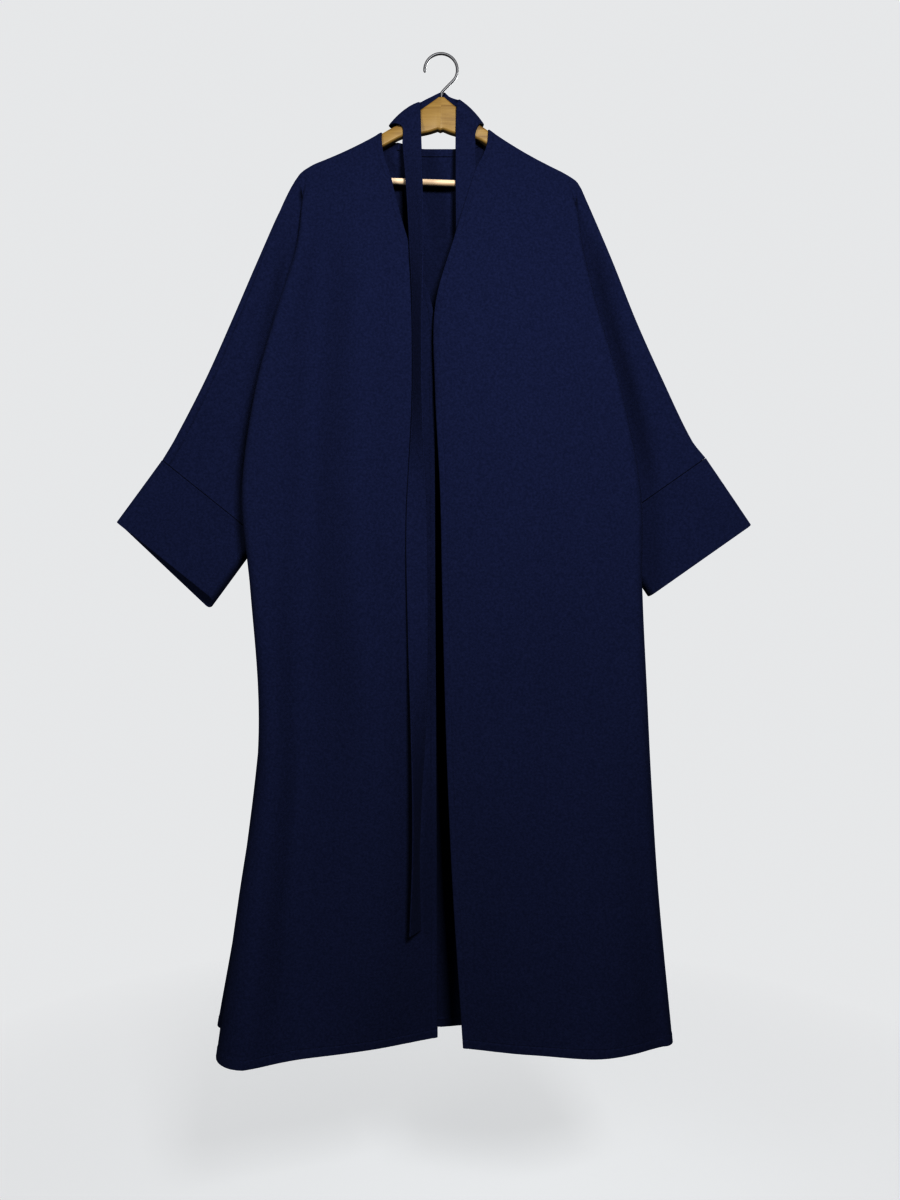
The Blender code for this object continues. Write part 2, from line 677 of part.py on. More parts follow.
make_front("right", RIGHT)
make_front("left", LEFT)
make_back()
make_facing()
make_cuff("cuff_right", RIGHT)
make_cuff("cuff_left", LEFT)
make_belt()
make_arm("hanger_arm_right", RIGHT)
make_arm("hanger_arm_left", LEFT)
make_bar()
make_hook()
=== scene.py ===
import bisect
import functools
import math
from collections import namedtuple

import bpy
import numpy as np
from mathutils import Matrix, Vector


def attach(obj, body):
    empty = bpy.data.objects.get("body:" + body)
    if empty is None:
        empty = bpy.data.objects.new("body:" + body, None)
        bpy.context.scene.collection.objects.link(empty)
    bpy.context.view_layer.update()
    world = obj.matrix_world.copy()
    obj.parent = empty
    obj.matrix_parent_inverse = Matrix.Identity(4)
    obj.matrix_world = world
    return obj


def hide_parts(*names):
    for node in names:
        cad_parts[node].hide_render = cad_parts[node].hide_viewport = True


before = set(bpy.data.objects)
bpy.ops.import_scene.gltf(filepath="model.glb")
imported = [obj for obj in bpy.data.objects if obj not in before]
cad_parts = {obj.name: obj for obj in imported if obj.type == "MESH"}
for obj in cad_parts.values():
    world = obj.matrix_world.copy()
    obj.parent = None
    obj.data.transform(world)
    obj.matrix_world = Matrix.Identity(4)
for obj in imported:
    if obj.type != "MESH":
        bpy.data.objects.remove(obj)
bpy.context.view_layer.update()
bpy.ops.object.select_all(action="DESELECT")


# Hanger arms: two flat boards of pale varnished wood, glued together in the middle under the hook.
# Each is sawn to a bowed line, deeper at the middle and at the lug that takes the bar, and rounded over.

RIGHT, LEFT = -1, 1
hanger_centre = 0.003
hanger_tilt = math.radians(2.0)
arm_crown = -0.0615
arm_flat = 0.004
arm_slope = 0.794
arm_bow = 1.03
arm_nose, arm_nose_start = 2.5, 0.170
arm_end, arm_end_round = 0.194, 0.008
arm_thickness = 0.012
arm_edge_round = 0.0036
arm_stations = [0.000, 0.015, 0.030, 0.045, 0.060, 0.090, 0.130, 0.1715, 0.1730, 0.194]
arm_heights = [0.0510, 0.0450, 0.0375, 0.0285, 0.0225, 0.0210, 0.0195, 0.0176, 0.0310, 0.0310]
varnished_wood = (0.200, 0.135, 0.045)
wood_grain_line = (0.133, 0.080, 0.022)


def lerp(start, end, f):
    return start + (end - start) * f


def arm_top(along):
    """Height of an arm's upper edge at a distance from the middle."""
    along = max(along, arm_flat)
    nose = arm_nose * max(along - arm_nose_start, 0.0) ** 2
    return arm_crown - arm_slope * along + arm_bow * along**2 - nose


def tilted(x, y, z):
    """Where a point of the level hanger lies as it hangs, a little down on the wearer's left."""
    cos, sin = math.cos(hanger_tilt), math.sin(hanger_tilt)
    return Vector((x * cos + z * sin, y, z * cos - x * sin))


def new_finish(name):
    """An empty finish: its material, node tree and main shader."""
    finish = bpy.data.materials.new(name)
    finish.use_nodes = True
    return finish, finish.node_tree, finish.node_tree.nodes["Principled BSDF"]


def add_node(tree, kind, **settings):
    node = tree.nodes.new(kind)
    for key, value in settings.items():
        setattr(node, key, value)
    return node


def placed_coordinates(tree, scale, turn=(0.0, 0.0, 0.0)):
    """Object coordinates, turned and stretched for a pattern."""
    place = add_node(tree, "ShaderNodeTexCoord")
    mapping = add_node(tree, "ShaderNodeMapping")
    mapping.inputs["Rotation"].default_value = turn
    mapping.inputs["Scale"].default_value = scale
    tree.links.new(place.outputs["Object"], mapping.inputs["Vector"])
    return mapping.outputs["Vector"]


def colour_ramp(tree, source, stops):
    ramp = add_node(tree, "ShaderNodeValToRGB")
    while len(ramp.color_ramp.elements) < len(stops):
        ramp.color_ramp.elements.new(0.5)
    for element, (position, colour) in zip(ramp.color_ramp.elements, stops):
        element.position = position
        element.color = (*colour, 1.0)
    tree.links.new(source, ramp.inputs["Fac"])
    return ramp.outputs["Color"]


def add_bump(tree, shader, source, strength, distance):
    bump = add_node(tree, "ShaderNodeBump")
    bump.inputs["Strength"].default_value = strength
    bump.inputs["Distance"].default_value = distance
    tree.links.new(source, bump.inputs["Height"])
    tree.links.new(bump.outputs["Normal"], shader.inputs["Normal"])


def wood_finish(name, pale, line, turn):
    """Planed wood under a thin varnish, with its grain along the board."""
    finish, tree, shader = new_finish(name)
    along = placed_coordinates(tree, (5.0, 60.0, 75.0), turn)
    rings = add_node(tree, "ShaderNodeTexNoise")
    rings.inputs["Scale"].default_value = 2.2
    rings.inputs["Detail"].default_value = 5.0
    rings.inputs["Distortion"].default_value = 0.6
    tree.links.new(along, rings.inputs["Vector"])
    middle = tuple(lerp(a, b, 0.35) for a, b in zip(pale, line))
    bands = [(0.30, line), (0.43, middle), (0.58, pale), (0.80, pale)]
    colour = colour_ramp(tree, rings.outputs["Fac"], bands)
    tree.links.new(colour, shader.inputs["Base Color"])
    pores = add_node(tree, "ShaderNodeTexNoise")
    pores.inputs["Scale"].default_value = 14.0
    pores.inputs["Detail"].default_value = 3.0
    tree.links.new(along, pores.inputs["Vector"])
    rough = add_node(tree, "ShaderNodeMapRange")
    rough.inputs["To Min"].default_value = 0.30
    rough.inputs["To Max"].default_value = 0.52
    tree.links.new(pores.outputs["Fac"], rough.inputs["Value"])
    tree.links.new(rough.outputs["Result"], shader.inputs["Roughness"])
    add_bump(tree, shader, pores.outputs["Fac"], 0.20, 0.0003)
    shader.inputs["Coat Weight"].default_value = 0.05
    shader.inputs["Specular IOR Level"].default_value = 0.25
    shader.inputs["Coat Roughness"].default_value = 0.25
    return finish


def saw_arm(name, side):
    """A board cut across at its stations, sawn to the bowed line and rounded along its edges."""
    joint_gap = 0.00001
    stations = set(np.linspace(arm_flat, 0.166, 34))
    stations |= {*arm_stations[-3:-1], arm_end - arm_end_round}
    stations |= {arm_end - arm_end_round * share for share in (0.8, 0.6, 0.4, 0.25, 0.12, 0.04)}
    bpy.ops.object.select_all(action="DESELECT")
    bpy.ops.mesh.primitive_cube_add(size=1.0)
    arm = bpy.context.object
    arm.name = name
    for corner in arm.data.vertices:
        corner.co.x = arm_end if corner.co.x > 0 else joint_gap
    bpy.ops.object.mode_set(mode="EDIT")
    for station in sorted(stations):
        bpy.ops.mesh.select_all(action="SELECT")
        bpy.ops.mesh.bisect(plane_co=(station, 0.0, 0.0), plane_no=(1.0, 0.0, 0.0))
    bpy.ops.object.mode_set(mode="OBJECT")
    alongs = [corner.co.x for corner in arm.data.vertices]
    for corner, along in zip(arm.data.vertices, alongs):
        height = float(np.interp(along, arm_stations, arm_heights))
        nose = min(max((along - arm_end + arm_end_round) / arm_end_round, 0.0), 1.0)
        inset = arm_end_round * (1.0 - math.sqrt(1.0 - nose**2))
        upper = corner.co.z > 0
        z = arm_top(along) - inset if upper else arm_top(along) - height + inset
        y = math.copysign(arm_thickness / 2, corner.co.y)
        corner.co = tilted(hanger_centre + side * along, y, z)
    bpy.ops.object.mode_set(mode="EDIT")
    bpy.ops.mesh.select_all(action="SELECT")
    bpy.ops.mesh.normals_make_consistent(inside=False)
    bpy.ops.mesh.select_mode(type="EDGE")
    bpy.ops.mesh.select_all(action="DESELECT")
    bpy.ops.object.mode_set(mode="OBJECT")
    for edge in arm.data.edges:
        edge.select = abs(alongs[edge.vertices[0]] - alongs[edge.vertices[1]]) > 1e-6
    bpy.ops.object.mode_set(mode="EDIT")
    bpy.ops.mesh.bevel(offset=arm_edge_round, segments=5, affect="EDGES")
    bpy.ops.object.mode_set(mode="OBJECT")
    bpy.ops.object.shade_smooth_by_angle(angle=math.radians(35))
    return arm


for side, name in ((RIGHT, "hanger_arm_right"), (LEFT, "hanger_arm_left")):
    arm = saw_arm("wood_" + name, side)
    grain_turn = (0.0, side * math.radians(-29), 0.0)
    arm.data.materials.append(wood_finish("varnished_" + name, varnished_wood, wood_grain_line, grain_turn))
    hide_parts(name)
    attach(arm, "root")


# Bar: a turned rod of plain pale wood that keeps the two arms apart and takes trousers.
# Its ends are let into the lugs at the ends of the arms and are slightly rounded.

bar_z = -0.192
bar_radius = 0.005
bar_seat, bar_clearance = 0.172, 0.0006
bar_length = 2 * (bar_seat - bar_clearance)
bar_wood = (0.490, 0.398, 0.296)
bar_line = (0.392, 0.298, 0.201)

bpy.ops.object.select_all(action="DESELECT")
bpy.ops.mesh.primitive_cylinder_add(vertices=40, radius=bar_radius, depth=bar_length)
bar = bpy.context.object
bar.name = "wood_hanger_bar"
bpy.ops.object.mode_set(mode="EDIT")
for station in np.linspace(-0.45, 0.45, 19) * bar_length:
    bpy.ops.mesh.select_all(action="SELECT")
    bpy.ops.mesh.bisect(plane_co=(0.0, 0.0, station), plane_no=(0.0, 0.0, 1.0))
bpy.ops.mesh.select_all(action="DESELECT")
bpy.ops.object.mode_set(mode="OBJECT")
for edge in bar.data.edges:
    ends = [bar.data.vertices[i].co.z for i in edge.vertices]
    edge.select = min(abs(z) for z in ends) > bar_length / 2 - 1e-6 and ends[0] * ends[1] > 0
bpy.ops.object.mode_set(mode="EDIT")
bpy.ops.mesh.bevel(offset=0.0008, segments=2, affect="EDGES")
bpy.ops.object.mode_set(mode="OBJECT")
for corner in bar.data.vertices:
    turned = 1.0 - 0.012 * (0.5 + 0.5 * math.sin(corner.co.z * 61.0 + 0.4))
    x, y, z = corner.co
    corner.co = tilted(hanger_centre + z, y * turned, bar_z - x * turned)
bpy.ops.object.mode_set(mode="EDIT")
bpy.ops.mesh.select_all(action="SELECT")
bpy.ops.mesh.normals_make_consistent(inside=False)
bpy.ops.object.mode_set(mode="OBJECT")
bpy.ops.object.shade_smooth_by_angle(angle=math.radians(35))
bar.data.materials.append(wood_finish("plain_bar_wood", bar_wood, bar_line, (0.0, -hanger_tilt, 0.0)))
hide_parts("hanger_bar")
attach(bar, "root")


# Hook: one length of bright steel wire, bent round over the rail and left open on the wearer's right.
# Its shank slants back under the bend and goes straight down into the middle of the arms.

wire_radius = 0.002
bend_radius = 0.0245
bend_centre = Vector((0.0, 0.0, wire_radius - bend_radius))
hook_steel = (0.15, 0.15, 0.155)

hook_route = []
for k in range(49):
    angle = math.radians(lerp(188.0, -35.0, k / 48))
    hook_route.append(bend_centre + bend_radius * Vector((math.cos(angle), 0.0, math.sin(angle))))
hook_foot = tilted(hanger_centre, 0.0, arm_top(0.0) + 0.0003)
hook_neck = hook_foot + Vector((0.0, 0.0, 0.007))
bend_end = hook_route[-1]
leaving = (hook_route[-1] - hook_route[-2]).normalized() * 0.010
arriving = Vector((0.0, 0.0, -0.006))
for k in range(1, 13):
    f = k / 12
    route = bend_end * (1 - 3 * f**2 + 2 * f**3) + hook_neck * (3 * f**2 - 2 * f**3)
    route += leaving * (f - 2 * f**2 + f**3) + arriving * (f**3 - f**2)
    hook_route.append(route)
hook_route += [hook_neck.lerp(hook_foot, 0.5), hook_foot]

wire = bpy.data.curves.new("wire_hook", "CURVE")
wire.dimensions = "3D"
wire.bevel_depth = wire_radius
wire.bevel_resolution = 4
wire.use_fill_caps = True
wire_line = wire.splines.new("POLY")
wire_line.points.add(len(hook_route) - 1)
for point, place in zip(wire_line.points, hook_route):
    point.co = (*place, 1.0)
wire_line.points[0].radius = 0.55
hook = bpy.data.objects.new("wire_hook", wire)
bpy.context.collection.objects.link(hook)
bpy.ops.object.select_all(action="DESELECT")
hook.select_set(True)
bpy.context.view_layer.objects.active = hook
bpy.ops.object.convert(target="MESH")
hook = bpy.context.object
bpy.ops.object.mode_set(mode="EDIT")
bpy.ops.mesh.select_all(action="SELECT")
bpy.ops.mesh.remove_doubles(threshold=1e-6)
bpy.ops.mesh.normals_make_consistent(inside=False)
bpy.ops.object.mode_set(mode="OBJECT")
bpy.ops.object.shade_smooth_by_angle(angle=math.radians(40))

steel, tree, shader = new_finish("bright_steel_wire")
scuffs = add_node(tree, "ShaderNodeTexNoise")
scuffs.inputs["Scale"].default_value = 420.0
scuffs.inputs["Detail"].default_value = 3.0
tree.links.new(placed_coordinates(tree, (1.0, 1.0, 1.0)), scuffs.inputs["Vector"])
scuffed = add_node(tree, "ShaderNodeMapRange")
scuffed.inputs["To Min"].default_value = 0.50
scuffed.inputs["To Max"].default_value = 0.60
tree.links.new(scuffs.outputs["Fac"], scuffed.inputs["Value"])
tree.links.new(scuffed.outputs["Result"], shader.inputs["Roughness"])
dull_steel = tuple(0.85 * c for c in hook_steel)
tint = colour_ramp(tree, scuffs.outputs["Fac"], [(0.3, dull_steel), (0.7, hook_steel)])
tree.links.new(tint, shader.inputs["Base Color"])
shader.inputs["Metallic"].default_value = 1.0
hook.data.materials.clear()
hook.data.materials.append(steel)
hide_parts("hanger_hook")
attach(hook, "root")


# Right front: a long panel of thick navy crepe, cut in one with the front half of its dolman sleeve.
# It is sewn to the back over the shoulder and arm and down the side; its front edge and neckline have a
# facing turned in and stitched down, and its hem is turned up and stitched.

FRONT, BACK = -1, 1
cloth = 0.0016
doubled_cloth = 0.0025
facing_width = 0.0098
edge_stitch, edge_press = 0.0085, 0.0009
hem_depth, hem_stitch, hem_press = 0.0138, 0.0124, 0.0008
press_width = 0.0012
hem_z = -1.469
back_neck_z = -0.138
neck_flat, neck_risen = 0.25, 0.85
cap_half, cap_depth = 0.0085, 0.009
cap_arc = math.pi / 4 * (cap_half + cap_depth)
drape = 0.070
seam_gap = 0.0003
armhole_depth_half = 0.004
pinch = 0.00035
pinch_run = 0.030
valley, tuck, tuck_start = 0.003, 0.004, 0.08
sleeve_y, sleeve_top_half, sleeve_end_half = 0.003, 0.0075, 0.011
arm_rest = cloth / 2 + 0.0011
overarm_groove = 0.0013
run_columns, turn_columns, neck_columns = 9, 4, 4
neck_run = 0.0140
side_pitch, side_columns = 0.003, 7

Half = namedtuple("Half", "neck roll roll_share skew cuff_in cuff_out")
halves = {
    RIGHT: Half(0.0873, 0.020, 0.40, 0.018, (0.271, -0.7245), (0.068, -0.093)),
    LEFT: Half(0.0715, -0.011, 0.30, 0.000, (0.2445, -0.7110), (0.068, -0.1005)),
}
underarm = (0.174, -0.5775)
overarm = {
    RIGHT: [(0.2115, -0.1815), (0.2325, -0.2175), (0.2730, -0.3075), (0.3120, -0.3975), (0.3525, -0.4875),
            (0.3990, -0.5775), (0.4170, -0.6075)],
    LEFT: [(0.2040, -0.1935), (0.2160, -0.2175), (0.2550, -0.3075), (0.2910, -0.3975), (0.3315, -0.4875),
           (0.3750, -0.5775), (0.3960, -0.6045)],
}

# Level sections of the hanging cloth, by their drop below the hook
Section = namedtuple("Section", "drop edge edge_y inner_y outer_y fold fold_y fold_r side side_y")
front_sections = {
    RIGHT: [
        Section(0.120, 0.0885, -0.009, -0.009, -0.009, 0.2050, -0.009, 0.004, 0.205, 0.000),
        Section(0.200, 0.0715, -0.013, -0.014, -0.014, 0.2050, -0.014, 0.005, 0.200, 0.001),
        Section(0.290, 0.0470, -0.019, -0.024, -0.024, 0.2120, -0.026, 0.008, 0.192, 0.002),
        Section(0.390, 0.0115, -0.024, -0.034, -0.033, 0.2390, -0.038, 0.008, 0.184, 0.003),
        Section(0.510, 0.0095, -0.027, -0.043, -0.040, 0.2690, -0.048, 0.009, 0.178, 0.004),
        Section(0.660, 0.0085, -0.028, -0.048, -0.044, 0.2880, -0.052, 0.010, 0.185, 0.004),
        Section(0.800, 0.0080, -0.028, -0.050, -0.046, 0.2760, -0.054, 0.013, 0.190, 0.004),
        Section(0.960, 0.0070, -0.027, -0.050, -0.049, 0.2645, -0.056, 0.018, 0.195, 0.004),
        Section(1.080, 0.0065, -0.025, -0.049, -0.053, 0.2690, -0.060, 0.027, 0.205, 0.004),
        Section(1.250, 0.0060, -0.018, -0.045, -0.060, 0.2920, -0.076, 0.036, 0.232, 0.004),
        Section(1.469, 0.0052, -0.008, -0.041, -0.074, 0.3200, -0.104, 0.048, 0.265, 0.004),
    ],
    LEFT: [
        Section(0.114, 0.0705, -0.009, -0.009, -0.009, 0.2000, -0.009, 0.004, 0.200, 0.000),
        Section(0.200, 0.0445, -0.015, -0.015, -0.014, 0.2000, -0.014, 0.005, 0.196, 0.001),
        Section(0.280, 0.0205, -0.024, -0.026, -0.024, 0.2070, -0.025, 0.008, 0.190, 0.002),
        Section(0.388, -0.0085, -0.034, -0.038, -0.035, 0.2290, -0.038, 0.008, 0.182, 0.003),
        Section(0.510, -0.0085, -0.040, -0.047, -0.043, 0.2620, -0.048, 0.009, 0.177, 0.004),
        Section(0.660, -0.0010, -0.043, -0.052, -0.048, 0.2900, -0.052, 0.010, 0.185, 0.004),
        Section(0.800, 0.0020, -0.045, -0.054, -0.050, 0.2920, -0.054, 0.013, 0.192, 0.004),
        Section(0.960, 0.0060, -0.046, -0.055, -0.052, 0.3000, -0.055, 0.018, 0.205, 0.004),
        Section(1.080, 0.0100, -0.046, -0.056, -0.057, 0.3070, -0.052, 0.021, 0.218, 0.004),
        Section(1.250, 0.0180, -0.044, -0.057, -0.064, 0.3190, -0.045, 0.019, 0.240, 0.004),
        Section(1.469, 0.0325, -0.041, -0.061, -0.0740, 0.3410, -0.036, 0.016, 0.270, 0.004),
    ],
}
BackSection = namedtuple("BackSection", "drop centre_y inner_y outer_y right_fold left_fold fold_y fold_r")
back_sections = [
    BackSection(0.120, 0.0085, 0.0085, 0.0085, 0.205, 0.200, 0.009, 0.003),
    BackSection(0.200, 0.0130, 0.0135, 0.0140, 0.203, 0.199, 0.017, 0.004),
    BackSection(0.290, 0.0170, 0.0175, 0.0180, 0.212, 0.207, 0.023, 0.005),
    BackSection(0.390, 0.0200, 0.0210, 0.0200, 0.232, 0.225, 0.028, 0.005),
    BackSection(0.510, 0.0230, 0.0260, 0.0240, 0.258, 0.252, 0.036, 0.005),
    BackSection(0.660, 0.0260, 0.0300, 0.0260, 0.276, 0.280, 0.040, 0.005),
    BackSection(0.960, 0.0280, 0.0340, 0.0280, 0.274, 0.288, 0.042, 0.007),
    BackSection(1.250, 0.0280, 0.0370, 0.0300, 0.305, 0.312, 0.044, 0.011),
    BackSection(1.469, 0.0260, 0.0400, 0.0320, 0.342, 0.342, 0.046, 0.014),
]


def smooth(f):
    f = min(max(f, 0.0), 1.0)
    return f * f * (3.0 - 2.0 * f)


def rounded(f):
    """Quarter-round rise from 0 to 1."""
    f = min(max(f, 0.0), 1.0)
    return math.sqrt(1.0 - (1.0 - f) ** 2)


def spline(stations, values, at):
    """Smooth curve through the values at rising stations."""
    last = len(stations) - 1
    at = min(max(at, stations[0]), stations[last])
    i = min(max(bisect.bisect_right(stations, at) - 1, 0), last - 1)

    def slope(k):
        low, high = max(k - 1, 0), min(k + 1, last)
        return (values[high] - values[low]) / (stations[high] - stations[low])

    span = stations[i + 1] - stations[i]
    u = (at - stations[i]) / span
    bend = slope(i) * span * (u - 2 * u**2 + u**3) + slope(i + 1) * span * (u**3 - u**2)
    return values[i] * (1 - 3 * u**2 + 2 * u**3) + values[i + 1] * (3 * u**2 - 2 * u**3) + bend


def table_row(table, drop):
    drops = [row.drop for row in table]
    return type(table[0])(*(spline(drops, column, drop) for column in zip(*table)))


class Ridge:
    """Shoulder and overarm line of one half as (out, z), by its length from the neck point."""

    def __init__(self, side):
        rests = 6
        self.points = []
        for k in range(rests):
            along = lerp(halves[side].neck, arm_end - arm_end_round / 2, k / (rests - 1))
            place = tilted(hanger_centre + side * along, 0.0, arm_top(along) + arm_rest)
            self.points.append(Vector((side * place.x, place.z)))
        self.points += [Vector(point) for point in overarm[side]]
        self.lengths = [0.0]
        for a, b in zip(self.points, self.points[1:]):
            self.lengths.append(self.lengths[-1] + (b - a).length)
        self.shoulder = self.lengths[rests]
        self.end = self.lengths[-1]

    def at(self, length):
        return spline(self.lengths, self.points, length)


ridges = {side: Ridge(side) for side in (RIGHT, LEFT)}


def cap(run):
    """Share of the ridge's half thickness, and drop below it, at a run of cloth from the ridge."""
    if run < 0.0:
        share, drop = cap(-run)
        return -share, drop
    if run >= cap_arc:
        return 1.0, cap_depth + run - cap_arc
    angle = run / cap_arc * math.pi / 2
    return math.sin(angle), cap_depth * (1.0 - math.cos(angle))


def run_for(drop):
    return drop - cap_depth + cap_arc


@functools.lru_cache(maxsize=None)
def section_row(side, face, tenths):
    """The section at a drop in tenths of a millimetre."""
    drop = tenths / 10000
    front = table_row(front_sections[side], drop)
    if face == FRONT:
        return front
    back = table_row(back_sections, drop)
    fold = back.right_fold if side == RIGHT else back.left_fold
    return Section(drop, 0.0, back.centre_y, back.inner_y, back.outer_y, fold, back.fold_y, back.fold_r,
                   front.side, front.side_y)


shoulder_z = {side: ridges[side].at(ridges[side].shoulder).y for side in (RIGHT, LEFT)}


def armhole_half(drop_share):
    """Half the armhole's opening from the shoulder point (0) to the underarm (1), closed below it."""
    depth = shoulder_z[RIGHT] - underarm[1]
    wide = lerp(cap_half, armhole_depth_half, drop_share)
    return lerp(pinch, wide, rounded((1.0 - drop_share) * depth / pinch_run))


def section_point(side, face, column, z):
    """Place of a column in its level section: run, turn at the fold, return, and side seam."""
    row = section_row(side, face, round(-z * 10000))
    share = min(max((shoulder_z[side] - z) / (shoulder_z[side] - underarm[1]), 0.0), 1.0)
    seam_y = row.side_y + face * armhole_half(share)
    return_y = seam_y + face * tuck * smooth(share / tuck_start)
    r = min(row.fold_r, 0.45 * abs(return_y - row.fold_y))
    turn_out = row.fold - r
    if column <= run_columns:
        f = column / run_columns
        heights = (row.edge_y, row.inner_y, row.outer_y, row.fold_y)
        return lerp(row.edge, turn_out, f), spline((0, 1 / 3, 2 / 3, 1), heights, f)
    column -= run_columns
    if column <= turn_columns:
        angle = math.pi * column / turn_columns
        return turn_out + r * math.sin(angle), row.fold_y - face * r * (1.0 - math.cos(angle))
    column -= turn_columns
    if column <= 2:
        f = column / 2
        return lerp(turn_out, row.side + valley, f), lerp(row.fold_y - face * 2 * r, return_y, f)
    return lerp(row.side + valley, row.side, column - 2), lerp(return_y, seam_y, column - 2)


def column_top(side, face, column):
    """Top of a column as (out, z): on the ridge, or above the back neckline for the back's inner ones."""
    ridge = ridges[side]
    side_start = ridge.shoulder - side_pitch * side_columns
    if column > run_columns:
        return ridge.at(side_start + side_pitch * (column - run_columns))
    if face == FRONT:
        return ridge.at(side_start * column / run_columns)
    if column >= neck_columns:
        return ridge.at(side_start * (column - neck_columns) / (run_columns - neck_columns))
    neck = ridge.at(0.0)
    share = column / neck_columns
    slope = min(max((share - neck_flat) / (neck_risen - neck_flat), 0.0), 1.0)
    rise = (1.0 - math.cos(math.pi * slope)) / 2
    return Vector((neck.x * share, lerp(back_neck_z + cap(neck_run)[1], neck.y, rise)))


def body_point(side, face, column, run):
    """A point of the body's cloth: flat over the hanger at the top, then hanging in its sections."""
    top = column_top(side, face, column)
    share, drop = cap(run)
    out, y = section_point(side, face, column, top.y - drop)
    hang = smooth(drop / drape)
    return Vector((side * lerp(top.x, out, hang), lerp(face * cap_half * share, y, hang), top.y - drop))


def sleeve_line(side, f):
    """Overarm and underarm points of the sleeve as (out, z), from the armhole (0) to the cuff seam (1)."""
    ridge = ridges[side]
    upper = ridge.at(lerp(ridge.shoulder, ridge.end, f))
    return upper, Vector(underarm).lerp(Vector(halves[side].cuff_in), f)


def sleeve_half(f, v, length):
    wide = lerp(sleeve_top_half, sleeve_end_half, f)
    hung = lerp(pinch, wide, rounded((1.0 - v) * length / pinch_run))
    return lerp(armhole_half(v), hung, smooth(f / 0.5))


def sleeve_point(side, face, f, run, sunk):
    upper, under = sleeve_line(side, f)
    length = (under - upper).length
    share, drop = cap(run)
    v = min(drop / length, 1.0)
    place = upper.lerp(under, v)
    y = sleeve_y * lerp(v, 1.0, f) + face * (sleeve_half(f, v, length) - sunk) * share
    return Vector((side * place.x, y, place.y - sunk * math.sqrt(max(1.0 - share**2, 0.0))))


ridge_runs = [seam_gap, 0.0007, 0.0012] + [cap_arc * k / 8 for k in range(1, 9)]
ridge_runs += [neck_run, 0.0144, 0.0151, 0.0170, 0.0195, 0.0227, 0.0266, 0.0310, 0.0360, 0.0440, 0.0530]
neck_row = ridge_runs.index(neck_run)
hem_steps = [0.0180, 0.0160, 0.0146, hem_depth, 0.0130, hem_stitch, 0.0118, 0.0110, 0.0100, 0.0080,
             0.0050, 0.0025, 0.0010, 0.0004, 0.0]
hem_stitch_row = hem_steps.index(hem_stitch) - len(hem_steps)
armhole_rows, skirt_rows, sleeve_columns = 56, 96, 44


def body_runs(side, top_z):
    first = ridge_runs[-1]
    to_hem = run_for(top_z - hem_z)
    share = (run_for(shoulder_z[side] - underarm[1]) - first) / (run_for(shoulder_z[side] - hem_z) - first)
    to_underarm = lerp(first, to_hem, share)
    runs = ridge_runs + [lerp(first, to_underarm, k / armhole_rows) for k in range(1, armhole_rows + 1)]
    to_hem_band = to_hem - hem_steps[0]
    runs += [lerp(to_underarm, to_hem_band, k / skirt_rows) for k in range(1, skirt_rows + 1)]
    return runs + [to_hem - step for step in hem_steps[1:]]


def sleeve_column(side, face, f):
    """Rows of one sleeve column; the overarm seam rolls off the ridge along the sleeve."""
    upper, under = sleeve_line(side, f)
    end = run_for((under - upper).length)
    roll = -face * halves[side].roll * smooth(f / halves[side].roll_share)
    first = ridge_runs[-1]
    runs = ridge_runs + [lerp(first, end, k / armhole_rows) for k in range(1, armhole_rows + 1)]
    pressed = overarm_groove * smooth(f / 0.12)
    points = []
    for run in runs:
        sunk = pressed * math.exp(-((run / 0.0017) ** 2))
        points.append(sleeve_point(side, face, f, run + roll * (1.0 - run / end), sunk))
    return points


def half_cloth(side, face, columns):
    """Body columns and sleeve columns of one half, as lists of points."""
    body = []
    for column in columns:
        top = column_top(side, face, column)
        points = [body_point(side, face, column, run) for run in body_runs(side, top.y)]
        if face == BACK and column < neck_columns:
            points[:neck_row] = [None] * neck_row
        body.append(points)
    stations = [k / sleeve_columns for k in range(1, sleeve_columns)] + [0.994, 0.998, 1.0]
    return body, [sleeve_column(side, face, f) for f in stations]


# A soft fold that hangs or drags in the cloth: its line, how far that bows sideways, its half width and
# how far it stands out (above 0) or falls in
Crease = namedtuple("Crease", "x0 z0 x1 z1 bow width height")
crease_tail, crease_rise = 0.12, 0.34
fold_fade = 1.4
hanger_hold, hanger_release = 0.012, 0.041


def crease_heights(x, z, creases):
    total = np.zeros_like(x)
    for crease in creases:
        dx, dz = crease.x1 - crease.x0, crease.z1 - crease.z0
        length = math.hypot(dx, dz)
        t = ((x - crease.x0) * dx + (z - crease.z0) * dz) / length**2
        across = ((x - crease.x0) * dz - (z - crease.z0) * dx) / length
        across = across - crease.bow * 4 * t * (1 - t)
        start = np.clip((t + crease_tail) / crease_rise, 0, 1)
        end = np.clip((1 + crease_tail - t) / crease_rise, 0, 1)
        ends = start**2 * (3 - 2 * start) * end**2 * (3 - 2 * end)
        total += crease.height * ends * np.exp(-((across / crease.width) ** 2))
    return total


def lay_creases(body, sleeve, columns, face, creases):
    """Moves the cloth in and out along its creases, fading where it is folded, sewn or on the hanger."""
    for column, points in zip(columns, body):
        fade = 1.0 - smooth((column - run_columns + fold_fade) / fold_fade)
        if fade > 0.0:
            shift_points(points, fade, face, creases)
    for k, points in enumerate(sleeve):
        near_cuff = smooth((len(sleeve) - 1 - k) / 7)
        near_armhole = smooth(k / 8)
        shift_points(points, near_cuff * near_armhole, face, creases, closes=True)


def shift_points(points, fade, face, creases, closes=False):
    placed = [i for i, point in enumerate(points) if point is not None]
    x = np.array([points[i].x for i in placed])
    z = np.array([points[i].z for i in placed])
    heights = crease_heights(x, z, creases)
    for i, height in zip(placed, heights):
        free = fade
        if i < len(ridge_runs):
            free *= smooth((ridge_runs[i] - hanger_hold) / hanger_release)
        if closes:
            free *= smooth((len(points) - 1 - i) / 14)
        points[i].y += face * float(height) * free


